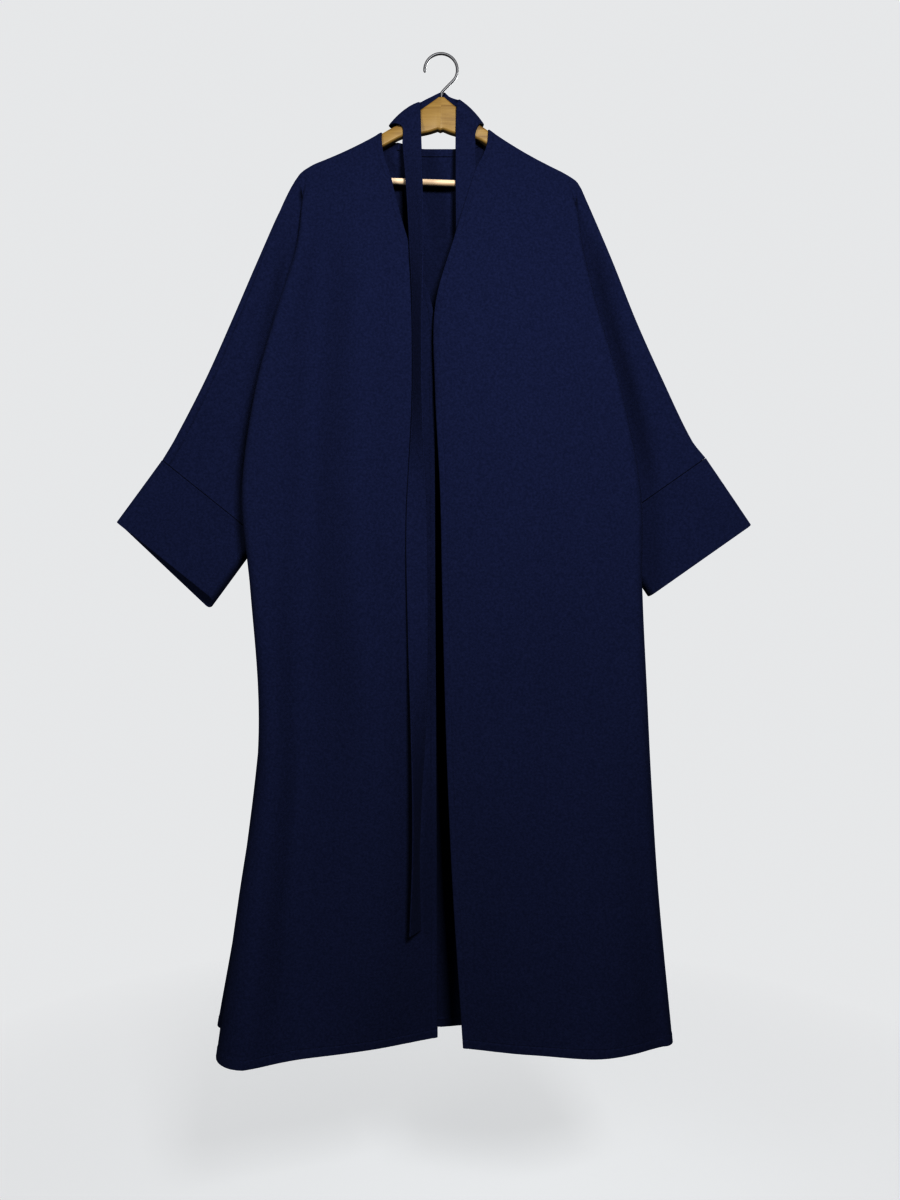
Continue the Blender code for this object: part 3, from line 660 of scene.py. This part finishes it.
def press_edge(body, insets, face):
    """Presses the front edge's sewn line into the cloth."""
    for points, walked in zip(body, insets):
        for i, point in enumerate(points):
            point.y -= face * edge_press * math.exp(-(((walked[i] - edge_stitch) / press_width) ** 2))


def press_hem(body, columns, face):
    """Presses the hem's sewn line into the cloth, as far as the side fold."""
    for column, points in zip(columns, body):
        if column <= run_columns:
            for i, step in enumerate(hem_steps):
                pressed = hem_press * math.exp(-(((step - hem_stitch) / press_width) ** 2))
                points[i - len(hem_steps)].y -= face * pressed


def edge_insets(body, count):
    """Distance of each point from the panel's free edge, along its row, for the first columns."""
    walked = [[0.0] * len(body[0])]
    for a, b in zip(body[:count], body[1:count]):
        walked.append([w + (q - p).length for w, p, q in zip(walked[-1], a, b)])
    return walked


def cloth_mesh(name, columns, weights, thickness, closed=False):
    """A wall of cloth on columns of points, as thick at each point as its weight says."""
    numbers, places, shares = [], [], []
    for points, column_weights in zip(columns, weights):
        numbered = []
        for point, weight in zip(points, column_weights):
            numbered.append(None if point is None else len(places))
            if point is not None:
                places.append(point)
                shares.append(weight)
        numbers.append(numbered)
    pairs = list(zip(numbers, numbers[1:]))
    if closed:
        pairs.append((numbers[-1], numbers[0]))
    faces = []
    for a, b in pairs:
        for i in range(min(len(a), len(b)) - 1):
            corners = (a[i], a[i + 1], b[i + 1], b[i])
            if None not in corners:
                faces.append(corners)
    mesh = bpy.data.meshes.new(name)
    mesh.from_pydata(places, [], faces)
    piece = bpy.data.objects.new(name, mesh)
    bpy.context.collection.objects.link(piece)
    group = piece.vertex_groups.new(name="wall")
    for i, share in enumerate(shares):
        group.add([i], share, "REPLACE")
    wall = piece.modifiers.new("wall", "SOLIDIFY")
    wall.thickness = thickness
    wall.offset = 0.0
    wall.vertex_group = "wall"
    bpy.ops.object.select_all(action="DESELECT")
    piece.select_set(True)
    bpy.context.view_layer.objects.active = piece
    bpy.ops.object.modifier_apply(modifier="wall")
    bpy.ops.object.shade_smooth()
    return piece


edge_thin, edge_rounding, band_step = 0.42, 0.0011, 0.0012
past_hem = 0.02


def wall_share(inset, single, band):
    """Share of the doubled thickness at a distance from a free edge: rounded there, doubled in its band."""
    edge = lerp(edge_thin, 1.0, rounded(inset / edge_rounding))
    return lerp(1.0, single, smooth((inset - band) / band_step)) * edge


def panel_weights(body, sleeve, insets, face):
    """Thickness shares of a panel: doubled along the front edge and the hem, single elsewhere."""
    single = cloth / doubled_cloth
    weights = []
    for k, points in enumerate(body):
        row_weights = []
        for i in range(len(points)):
            above_hem = i - len(points) + len(hem_steps)
            share = single
            if above_hem >= 0:
                share = max(share, wall_share(hem_steps[above_hem], single, hem_depth))
                share = min(share, wall_share(hem_steps[above_hem], single, past_hem))
            if k < len(insets):
                edge_share = wall_share(insets[k][i], single, facing_width)
                share = max(share, edge_share) if insets[k][i] > edge_rounding else min(share, edge_share)
            if face == BACK and points[neck_row - 1] is None and i - neck_row < 3:
                share *= (0.5, 0.8, 0.95)[max(i - neck_row, 0)]
            row_weights.append(share)
        weights.append(row_weights)
    return weights + [[single] * len(points) for points in sleeve]


# Sewing thread: short stitches of navy thread, each a small spindle lying in the pressed line
stitch_length, stitch_pitch, thread_radius, thread_dip = 0.0030, 0.0042, 0.00032, 0.00022


def sew(name, lines):
    """One piece with the stitches of several sewn lines, each a list of (place, outward, lift)."""
    places, faces = [], []
    for line in lines:
        walked = [0.0]
        for (a, _, _), (b, _, _) in zip(line, line[1:]):
            walked.append(walked[-1] + (b - a).length)
        at = stitch_pitch
        while at < walked[-1] - stitch_pitch:
            i = min(bisect.bisect_right(walked, at) - 1, len(line) - 2)
            f = (at - walked[i]) / max(walked[i + 1] - walked[i], 1e-9)
            (a, out_a, lift_a), (b, out_b, lift_b) = line[i], line[i + 1]
            outward = out_a.lerp(out_b, f).normalized()
            middle = a.lerp(b, f) + outward * lerp(lift_a, lift_b, f)
            along = (b - a).normalized()
            across = along.cross(outward).normalized()
            start = len(places)
            for share, swell in ((-0.5, 0.35), (-0.25, 0.95), (0.25, 0.95), (0.5, 0.35)):
                dip = outward * (-thread_dip if abs(share) == 0.5 else 0.0)
                for turn in range(6):
                    angle = turn * math.pi / 3
                    ring = (across * math.cos(angle) + outward * math.sin(angle)) * thread_radius * swell
                    places.append(middle + along * stitch_length * share + ring + dip)
            for ring in range(3):
                for turn in range(6):
                    low, high = start + 6 * ring + turn, start + 6 * ring + (turn + 1) % 6
                    faces.append((low, high, high + 6, low + 6))
            faces.append(tuple(start + 5 - turn for turn in range(6)))
            faces.append(tuple(start + 18 + turn for turn in range(6)))
            at += stitch_pitch
    mesh = bpy.data.meshes.new(name)
    mesh.from_pydata(places, [], faces)
    piece = bpy.data.objects.new(name, mesh)
    bpy.context.collection.objects.link(piece)
    bpy.ops.object.select_all(action="DESELECT")
    piece.select_set(True)
    bpy.context.view_layer.objects.active = piece
    bpy.ops.object.mode_set(mode="EDIT")
    bpy.ops.mesh.select_all(action="SELECT")
    bpy.ops.mesh.normals_make_consistent(inside=False)
    bpy.ops.object.mode_set(mode="OBJECT")
    bpy.ops.object.shade_smooth()
    piece.data.materials.append(navy_thread)
    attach(piece, "root")
    return piece


def edge_line(body, insets, at, face, rows):
    """Sewn line at a distance from the panel's free edge."""
    line = []
    for i in rows:
        for k in range(len(insets) - 1):
            if insets[k][i] <= at <= insets[k + 1][i]:
                a, b = body[k][i], body[k + 1][i]
                place = a.lerp(b, (at - insets[k][i]) / (insets[k + 1][i] - insets[k][i]))
                down = body[k][min(i + 1, len(body[k]) - 1)] - body[k][i - 1]
                outward = (b - a).cross(down).normalized()
                line.append((place, outward if outward.y * face > 0 else -outward, doubled_cloth / 2))
                break
    return line


def hem_line(body, face):
    """Sewn line along the hem, round the side folds."""
    line = []
    turned = 1.0
    for k in range(len(body)):
        a, b = body[max(k - 1, 0)][hem_stitch_row], body[min(k + 1, len(body) - 1)][hem_stitch_row]
        up = body[k][hem_stitch_row - 3] - body[k][hem_stitch_row + 3]
        outward = (b - a).cross(up).normalized()
        if k == 0:
            turned = 1.0 if outward.y * face > 0 else -1.0
        line.append((body[k][hem_stitch_row].copy(), outward * turned, doubled_cloth / 2))
    return line


def crepe_finish(name, dark, light):
    """Thick matte crepe: a pebbled weave, a little fuzz, and a slightly uneven dye."""
    finish, tree, shader = new_finish(name)
    place = placed_coordinates(tree, (1.0, 1.0, 1.0))
    dye = add_node(tree, "ShaderNodeTexNoise")
    dye.inputs["Scale"].default_value = 300.0
    dye.inputs["Detail"].default_value = 1.0
    tree.links.new(place, dye.inputs["Vector"])
    pebble = add_node(tree, "ShaderNodeTexVoronoi")
    pebble.inputs["Scale"].default_value = 950.0
    tree.links.new(place, pebble.inputs["Vector"])
    yarn = add_node(tree, "ShaderNodeTexNoise")
    yarn.inputs["Scale"].default_value = 340.0
    yarn.inputs["Detail"].default_value = 4.0
    yarn.inputs["Roughness"].default_value = 0.65
    tree.links.new(place, yarn.inputs["Vector"])
    mixed = add_node(tree, "ShaderNodeMath", operation="ADD")
    tree.links.new(dye.outputs["Fac"], mixed.inputs[0])
    tree.links.new(yarn.outputs["Fac"], mixed.inputs[1])
    halved = add_node(tree, "ShaderNodeMath", operation="MULTIPLY")
    halved.inputs[1].default_value = 0.5
    tree.links.new(mixed.outputs["Value"], halved.inputs[0])
    colour = colour_ramp(tree, halved.outputs["Value"], [(0.38, dark), (0.62, light)])
    tree.links.new(colour, shader.inputs["Base Color"])
    weave = add_node(tree, "ShaderNodeMath", operation="ADD")
    tree.links.new(pebble.outputs["Distance"], weave.inputs[0])
    tree.links.new(yarn.outputs["Fac"], weave.inputs[1])
    add_bump(tree, shader, weave.outputs["Value"], 0.55, 0.0006)
    rough = add_node(tree, "ShaderNodeMapRange")
    rough.inputs["To Min"].default_value = 0.80
    rough.inputs["To Max"].default_value = 0.98
    tree.links.new(yarn.outputs["Fac"], rough.inputs["Value"])
    tree.links.new(rough.outputs["Result"], shader.inputs["Roughness"])
    shader.inputs["Specular IOR Level"].default_value = 0.03
    shader.inputs["Sheen Weight"].default_value = 0.012
    shader.inputs["Sheen Roughness"].default_value = 0.45
    shader.inputs["Sheen Tint"].default_value = (0.45, 0.52, 0.85, 1.0)
    return finish


navy_crepe = crepe_finish("navy_crepe", (0.0087, 0.0126, 0.0370), (0.0135, 0.0184, 0.0506))
navy_thread = crepe_finish("navy_thread", (0.0110, 0.0153, 0.0430), (0.0190, 0.0246, 0.0610))

side_stations = [run_columns + turn_columns * k / 16 for k in range(1, 17)]
side_stations += [run_columns + turn_columns + 2 * k / 9 for k in range(1, 10)]
side_stations += [15.34, 15.67, 16.0]
front_columns = [0.0, 0.015, 0.04, 0.08, 0.12, 0.16, 0.20, 0.235, 0.27, 0.30, 0.33, 0.365, 0.40]
front_columns += [0.44, 0.49, 0.56, 0.66, 0.80] + [1 + k / 6 for k in range(49)] + side_stations
edge_band = 22

right_front_creases = [
    Crease(-0.108, -0.250, -0.116, -0.930, 0.006, 0.034, 0.0100),
    Crease(-0.172, -0.270, -0.200, -0.900, 0.004, 0.030, -0.0120),
    Crease(-0.205, -0.225, -0.150, -0.345, 0.004, 0.011, -0.0012),
    Crease(-0.098, -0.850, -0.086, -1.480, -0.006, 0.046, 0.0090),
    Crease(-0.196, -0.830, -0.205, -1.480, 0.006, 0.048, -0.0170),
    Crease(-0.201, -0.230, -0.301, -0.670, 0.010, 0.013, -0.0130),
    Crease(-0.300, -0.330, -0.375, -0.560, 0.006, 0.016, 0.0012),
    Crease(-0.345, -0.520, -0.300, -0.610, 0.004, 0.010, -0.0010),
]


def front_cloth(side, creases):
    body, sleeve = half_cloth(side, FRONT, front_columns)
    lay_creases(body, sleeve, front_columns, FRONT, creases)
    insets = edge_insets(body, edge_band)
    press_edge(body[:edge_band], insets, FRONT)
    press_hem(body, front_columns, FRONT)
    return body, sleeve, insets


def make_front(name, side, creases, nodes):
    body, sleeve, insets = front_cloth(side, creases)
    weights = panel_weights(body, sleeve, insets, FRONT)
    piece = cloth_mesh("cloth_" + name, body + sleeve, weights, doubled_cloth)
    piece.data.materials.append(navy_crepe)
    rows = range(3, len(body[0]) - 8)
    lines = [edge_line(body, insets, edge_stitch, FRONT, rows), hem_line(body, FRONT)]
    stitches = sew("stitches_" + name, lines)
    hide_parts(*nodes)
    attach(piece, "root")


make_front("front_right", RIGHT, right_front_creases,
           ("front_right", "skirt_front_right", "sleeve_front_right"))


# Left front: the other front panel, of the same crepe and cut in the same way, lapping over the right one
# from the chest to the knee. Its facing and hem are stitched as on the right.

left_front_creases = [
    Crease(0.102, -0.140, 0.098, -0.200, 0.001, 0.0055, -0.0016),
    Crease(0.060, -0.225, 0.052, -0.420, 0.003, 0.020, -0.0016),
    Crease(0.110, -0.240, 0.125, -0.860, -0.006, 0.042, 0.0030),
    Crease(0.176, -0.260, 0.206, -0.720, 0.006, 0.026, -0.0026),
    Crease(0.036, -0.480, 0.048, -1.180, 0.004, 0.028, 0.0022),
    Crease(0.190, -0.215, 0.150, -0.330, -0.004, 0.012, -0.0012),
    Crease(0.175, -0.880, 0.190, -1.480, 0.008, 0.044, -0.0050),
    Crease(0.258, -0.900, 0.286, -1.480, -0.004, 0.030, 0.0034),
    Crease(0.092, -1.000, 0.106, -1.480, -0.004, 0.034, 0.0030),
    Crease(0.262, -0.360, 0.325, -0.560, 0.004, 0.016, 0.0012),
    Crease(0.199, -0.235, 0.303, -0.665, -0.005, 0.022, -0.0125),
    Crease(0.330, -0.520, 0.285, -0.600, -0.004, 0.010, -0.0010),
]

make_front("front_left", LEFT, left_front_creases,
           ("front_left", "skirt_front_left", "sleeve_front_left"))


# Back: one wide panel of the crepe, cut in one with the back halves of both sleeves.
# It is sewn to the fronts over the shoulders and arms and down the sides, and hemmed like them.

back_creases = [
    Crease(-0.150, -0.230, -0.168, -0.880, 0.006, 0.030, -0.0040),
    Crease(-0.070, -0.300, -0.078, -1.050, -0.005, 0.034, 0.0030),
    Crease(0.018, -0.260, 0.010, -0.900, 0.004, 0.028, -0.0026),
    Crease(0.084, -0.330, 0.098, -1.120, -0.004, 0.036, 0.0032),
    Crease(0.160, -0.240, 0.178, -0.840, 0.005, 0.026, -0.0034),
    Crease(-0.205, -0.800, -0.222, -1.480, 0.006, 0.038, -0.0050),
    Crease(-0.105, -0.980, -0.118, -1.480, -0.004, 0.030, 0.0036),
    Crease(0.000, -0.930, -0.006, -1.480, 0.005, 0.042, -0.0042),
    Crease(0.125, -1.020, 0.140, -1.480, 0.004, 0.034, 0.0036),
    Crease(0.222, -0.820, 0.246, -1.480, -0.006, 0.036, -0.0044),
    Crease(-0.200, -0.220, -0.110, -0.330, 0.006, 0.012, -0.0014),
    Crease(0.195, -0.225, 0.120, -0.350, -0.006, 0.013, -0.0014),
    Crease(-0.300, -0.340, -0.360, -0.540, -0.005, 0.017, -0.0014),
    Crease(-0.280, -0.420, -0.335, -0.640, 0.004, 0.020, 0.0014),
    Crease(0.270, -0.350, 0.335, -0.560, 0.005, 0.017, -0.0014),
    Crease(0.240, -0.420, 0.300, -0.640, -0.004, 0.020, 0.0014),
]
back_columns = [k / 5 for k in range(46)] + side_stations
back_bodies, back_sleeves = {}, {}
for side in (RIGHT, LEFT):
    back_bodies[side], back_sleeves[side] = half_cloth(side, BACK, back_columns)
    lay_creases(back_bodies[side], back_sleeves[side], back_columns, BACK, back_creases)
    press_hem(back_bodies[side], back_columns, BACK)
halves_of_back = {}
for side in (RIGHT, LEFT):
    weights = panel_weights(back_bodies[side], back_sleeves[side], [], BACK)
    halves_of_back[side] = (back_bodies[side] + back_sleeves[side], weights)
right_columns, right_weights = halves_of_back[RIGHT]
left_columns, left_weights = halves_of_back[LEFT]
back_across = right_columns[::-1] + left_columns[1:]
back_weights = right_weights[::-1] + left_weights[1:]
back = cloth_mesh("cloth_back", back_across, back_weights, doubled_cloth)
back.data.materials.append(navy_crepe)
back_hem_lines = [hem_line(back_bodies[RIGHT], BACK), hem_line(back_bodies[LEFT], BACK)]
back_stitches = sew("stitches_back", back_hem_lines)
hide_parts("back", "skirt_back", "sleeve_back_right", "sleeve_back_left")
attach(back, "root")


# Back neck facing: a narrow strip of the crepe turned in along the back neck to hide its raw edge.
# It lies inside the back and is stitched down along its lower edge.

facing_cloth, facing_height = 0.0010, 0.011
facing_stitch, facing_press, facing_press_width = 0.0086, 0.00025, 0.0007
facing_inset = Vector((0.0, -(cloth / 2 + seam_gap + facing_cloth / 2), 0.0))
facing_drops = [0.0, 0.0004, 0.0010, 0.0025, 0.0045, 0.0065, 0.0080, facing_stitch, 0.0092, 0.0100]
facing_drops += [0.0106, facing_height]
facing_stations = [(RIGHT, 3 - k / 8) for k in range(24)] + [(LEFT, k / 8) for k in range(25)]

facing_points, facing_weights = [], []
for side, column in facing_stations:
    points = []
    for drop in facing_drops:
        point = body_point(side, BACK, column, neck_run + drop) + facing_inset
        point.y += facing_press * math.exp(-(((drop - facing_stitch) / facing_press_width) ** 2))
        points.append(point)
    facing_points.append(points)
    end = min(abs(len(facing_points) - 1), abs(len(facing_stations) - len(facing_points)))
    edges = [min(drop, facing_height - drop) for drop in facing_drops]
    facing_weights.append([min(0.5 + 0.5 * rounded(edge / 0.0012), 0.6 + 0.2 * end) for edge in edges])
facing = cloth_mesh("cloth_back_neck_facing", facing_points, facing_weights, facing_cloth)
facing.data.materials.append(navy_crepe)
facing_row = facing_drops.index(facing_stitch)
facing_line = [(points[facing_row], Vector((0.0, -1.0, 0.0)), facing_cloth / 2) for points in facing_points]
facing_stitches = sew("stitches_back_neck_facing", [facing_line])
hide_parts("back_neck_facing")
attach(facing, "root")


# Cuffs: deep straight bands of doubled crepe, each a flattened tube sewn on at the end of its sleeve.
# The right one's back layer hangs a little lower than its front.

cuff_cloth = 0.0022
cuff_sag, cuff_swell, swell_width = 0.0011, 0.0006, 0.004
skew_at_top = 0.15
cuff_alongs = [0.0, 0.0004, 0.0010, 0.0020, 0.0032, 0.0050]


def make_cuff(name, side):
    half = halves[side]
    upper, under = sleeve_line(side, 1.0)
    length = (under - upper).length
    cuff_out = Vector(half.cuff_out)
    start = seam_gap + cloth / 4
    drops = [cap_depth * (1.0 - math.cos(math.pi / 2 * k / 10)) for k in range(11)]
    drops += [lerp(cap_depth, length - cap_depth, k / 30) for k in range(1, 30)]
    drops += [length - drop for drop in drops[10::-1]]
    loop = [(FRONT, drop) for drop in drops] + [(BACK, drop) for drop in drops[-2:0:-1]]
    columns, weights = [], []
    for face, drop in loop:
        bulge = min(rounded(drop / cap_depth), rounded((length - drop) / cap_depth))
        longer = half.skew * lerp(skew_at_top, 1.0, drop / length) * (0.5 + 0.5 * face * bulge)
        whole = cuff_out.length + longer
        alongs = [start + along for along in cuff_alongs]
        alongs += [lerp(start + 0.005, whole - 0.005, k / 22) for k in range(1, 23)]
        alongs += [whole - along for along in (0.0032, 0.0020, 0.0010, 0.0004, 0.0)]
        column, column_weights = [], []
        for along in alongs:
            place = upper.lerp(under, drop / length) + cuff_out.normalized() * along
            wave = math.sin(drop / length * 9.0 + side) * math.sin(math.pi * (along / whole))
            sag = cuff_sag * wave * bulge
            swell = cuff_swell * math.exp(-(((along - start) / swell_width) ** 2)) * bulge
            y = sleeve_y + face * (sleeve_end_half * bulge + sag + swell)
            column.append(Vector((side * place.x, y, place.y)))
            column_weights.append(0.42 + 0.58 * rounded(min(along - start, whole - along) / 0.0012))
        columns.append(column)
        weights.append(column_weights)
    piece = cloth_mesh("cloth_" + name, columns, weights, cuff_cloth, closed=True)
    piece.data.materials.append(navy_crepe)
    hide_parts(name)
    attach(piece, "root")


make_cuff("cuff_right", RIGHT)
make_cuff("cuff_left", LEFT)


# Belt: a long loose strip of doubled crepe, stitched along both edges, hung round the neck of the hanger.
# One end twists down outside the right front and the other hangs inside the left one.

belt_width, belt_cloth = 0.030, 0.0024
belt_bow = 0.006
belt_pitch, belt_end_margin = 0.006, 0.006
belt_stitch, belt_press, belt_press_width, belt_edge_round = 0.003, 0.16, 0.0007, 0.0013
Band = namedtuple("Band", "near far")
belt_neck = [
    Band((-0.0303, -0.0077, -0.095), (-0.0575, -0.0077, -0.112)),
    Band((-0.0310, -0.0100, -0.079), (-0.0690, -0.0100, -0.108)),
    Band((-0.0330, -0.0030, -0.0735), (-0.0780, 0.0020, -0.106)),
    Band((-0.0330, 0.0050, -0.0705), (-0.0680, 0.0130, -0.105)),
    Band((-0.0280, 0.0100, -0.064), (-0.0400, 0.0150, -0.095)),
    Band((-0.0140, 0.0120, -0.056), (-0.0160, 0.0140, -0.086)),
    Band((0.0030, 0.0120, -0.049), (0.0030, 0.0130, -0.079)),
    Band((0.0120, 0.0120, -0.056), (0.0170, 0.0140, -0.086)),
    Band((0.0220, 0.0100, -0.061), (0.0400, 0.0150, -0.100)),
    Band((0.0270, 0.0040, -0.066), (0.0580, 0.0130, -0.105)),
    Band((0.0260, -0.0040, -0.070), (0.0640, 0.0020, -0.104)),
    Band((0.0235, -0.0105, -0.082), (0.0570, -0.0105, -0.109)),
    Band((0.0225, -0.0077, -0.100), (0.0515, -0.0077, -0.121)),
]
Strip = namedtuple("Strip", "z x y turn")
belt_outer_end = [
    Strip(-1.302, -0.0371, -0.0440, -60),
    Strip(-1.194, -0.0357, -0.0500, -72),
    Strip(-1.107, -0.0342, -0.0530, -67),
    Strip(-0.991, -0.0321, -0.0525, -43),
    Strip(-0.875, -0.0328, -0.0480, -15),
    Strip(-0.702, -0.0350, -0.0440, 0),
    Strip(-0.528, -0.0336, -0.0510, 59),
    Strip(-0.379, -0.0340, -0.0445, 58),
    Strip(-0.288, -0.0358, -0.0340, 43),
    Strip(-0.200, -0.0395, -0.0230, 34),
    Strip(-0.140, -0.0430, -0.0150, 20),
]
belt_inner_end = [
    Strip(-1.240, 0.0480, -0.0150, 12),
    Strip(-0.900, 0.0450, -0.0160, -8),
    Strip(-0.550, 0.0410, -0.0130, 10),
    Strip(-0.290, 0.0375, -0.0095, 4),
    Strip(-0.140, 0.0367, -0.0085, 0),
]


def strip_band(strip, hook_side):
    """Both edges of a hanging end of the belt."""
    turn = math.radians(strip.turn)
    across = Vector((math.cos(turn), -math.sin(turn), 0.0)) * belt_width / 2 * hook_side
    middle = Vector((strip.x, strip.y, strip.z))
    return Band(middle + across, middle - across)


bands = [strip_band(strip, 1) for strip in belt_outer_end]
bands += [Band(Vector(near), Vector(far)) for near, far in belt_neck]
bands += [strip_band(strip, -1) for strip in reversed(belt_inner_end)]
middles = [(band.near + band.far) / 2 for band in bands]
stations = [0.0]
for a, b in zip(middles, middles[1:]):
    stations.append(stations[-1] + (b - a).length)
belt_length = stations[-1]
marks = [0.0, 0.0004, 0.0010, 0.0022, 0.0040]
for start, end in zip(stations, stations[1:]):
    steps = max(3, round((end - start) / belt_pitch))
    marks += [lerp(start, end, k / steps) for k in range(1, steps)] + [end]
marks = [mark for mark in marks
         if mark <= 0.004 or belt_end_margin < mark < belt_length - belt_end_margin]
marks += [belt_length - step for step in (0.0040, 0.0022, 0.0010, 0.0004, 0.0)]
belt_shares = [0.0, 0.014, 0.036, 0.075, 0.10, 0.125, 0.17, 0.25, 0.35, 0.5]
belt_shares += [1.0 - share for share in belt_shares[-2::-1]]
belt_columns, belt_weights = [], []
for share in belt_shares:
    edge = min(share, 1.0 - share) * belt_width
    route = []
    for band in bands:
        slant = (band.far - band.near).length / belt_width - 1.0
        bow = 4.0 * share * (1.0 - share) * max(slant, 0.0) * belt_bow
        route.append(band.near.lerp(band.far, share) + Vector((0.0, 0.0, bow)))
    belt_columns.append([spline(stations, route, mark) for mark in marks])
    pressed = 1.0 - belt_press * math.exp(-(((edge - belt_stitch) / belt_press_width) ** 2))
    insets = [min(edge, mark, belt_length - mark) for mark in marks]
    belt_weights.append([(0.40 + 0.60 * rounded(inset / belt_edge_round)) * pressed for inset in insets])
belt = cloth_mesh("cloth_belt", belt_columns, belt_weights, belt_cloth)
belt.data.materials.append(navy_crepe)
belt_lines = []
for column, inner in ((belt_shares.index(0.10), 1), (len(belt_shares) - 1 - belt_shares.index(0.10), -1)):
    for outside in (1.0, -1.0):
        line = []
        for i in range(4, len(marks) - 4):
            along = belt_columns[column][i + 1] - belt_columns[column][i - 1]
            across = (belt_columns[column + inner][i] - belt_columns[column][i]) * inner
            outward = along.cross(across).normalized() * outside
            line.append((belt_columns[column][i].copy(), outward, 0.42 * belt_cloth))
        belt_lines.append(line)
belt_stitches = sew("stitches_belt", belt_lines)
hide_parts("belt")
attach(belt, "root")


# Floor: plain and pale, well below the hem, fading out round the object.
# It only takes the soft shadows and is no part of the coat.

floor_z = -1.86
bpy.ops.object.select_all(action="DESELECT")
bpy.ops.mesh.primitive_circle_add(vertices=96, radius=1.5, fill_type="NGON", location=(0.0, 0.0, floor_z))
floor = bpy.context.object
floor.name = "floor"
bpy.ops.object.transform_apply(location=True)
floor_finish, tree, shader = new_finish("pale_floor")
shader.inputs["Base Color"].default_value = (0.50, 0.51, 0.52, 1.0)
shader.inputs["Roughness"].default_value = 0.85
shader.inputs["Specular IOR Level"].default_value = 0.1
fade = add_node(tree, "ShaderNodeTexGradient", gradient_type="SPHERICAL")
flat_place = placed_coordinates(tree, (0.70, 0.70, 0.0))
tree.links.new(flat_place, fade.inputs["Vector"])
shown = add_node(tree, "ShaderNodeMapRange")
shown.inputs["From Max"].default_value = 0.75
shown.inputs["To Max"].default_value = 0.32
tree.links.new(fade.outputs["Fac"], shown.inputs["Value"])
tree.links.new(shown.outputs["Result"], shader.inputs["Alpha"])
floor.data.materials.append(floor_finish)


# Light: a soft lamp above and in front on the viewer's right, a weaker one on the left, one behind,
# and pale surroundings.

def soft_lamp(name, place, aim, size, power):
    lamp = bpy.data.lights.new(name, "AREA")
    lamp.shape = "RECTANGLE"
    lamp.size, lamp.size_y = size
    lamp.energy = power
    holder = bpy.data.objects.new(name, lamp)
    bpy.context.collection.objects.link(holder)
    holder.location = place
    holder.rotation_euler = (Vector(aim) - Vector(place)).to_track_quat("-Z", "Y").to_euler()
    return holder


key_lamp = soft_lamp("key_lamp", (0.60, -2.05, 0.40), (0.03, 0.0, -0.62), (0.5, 0.5), 42.0)
key_lamp.data.spread = math.radians(110)
fill_lamp = soft_lamp("fill_lamp", (-1.50, -1.80, 0.00), (-0.15, 0.0, -0.50), (0.7, 0.6), 18.0)
fill_lamp.data.spread = math.radians(120)
back_lamp = soft_lamp("back_lamp", (1.20, 1.90, 0.45), (0.0, 0.0, -0.55), (1.0, 0.9), 60.0)
back_lamp.data.spread = math.radians(110)

world = bpy.data.worlds.new("pale_surroundings")
bpy.context.scene.world = world
world.use_nodes = True
tree = world.node_tree
surround = tree.nodes["Background"]
surround.inputs["Color"].default_value = (0.86, 0.88, 0.92, 1.0)
surround.inputs["Strength"].default_value = 0.09
plain = add_node(tree, "ShaderNodeBackground")
plain.inputs["Color"].default_value = (0.862, 0.868, 0.876, 1.0)
plain.inputs["Strength"].default_value = 1.0
seen = add_node(tree, "ShaderNodeLightPath")
choice = add_node(tree, "ShaderNodeMixShader")
tree.links.new(seen.outputs["Is Camera Ray"], choice.inputs["Fac"])
tree.links.new(surround.outputs["Background"], choice.inputs[1])
tree.links.new(plain.outputs["Background"], choice.inputs[2])
tree.links.new(choice.outputs["Shader"], tree.nodes["World Output"].inputs["Surface"])
bpy.context.scene.view_settings.view_transform = "Standard"
bpy.context.scene.view_settings.gamma = 0.64


# Camera: level, straight in front of the coat at about the height of its middle.
# Its distance and lens give the photograph's framing.

camera_data = bpy.data.cameras.new("camera")
camera_data.lens = 27.0
camera_data.sensor_width = 36.0
camera = bpy.data.objects.new("camera", camera_data)
camera.location = (0.0135, -1.35, -0.8175)
camera.rotation_euler = (math.pi / 2, 0.0, 0.0)
bpy.context.collection.objects.link(camera)
bpy.context.scene.camera = camera
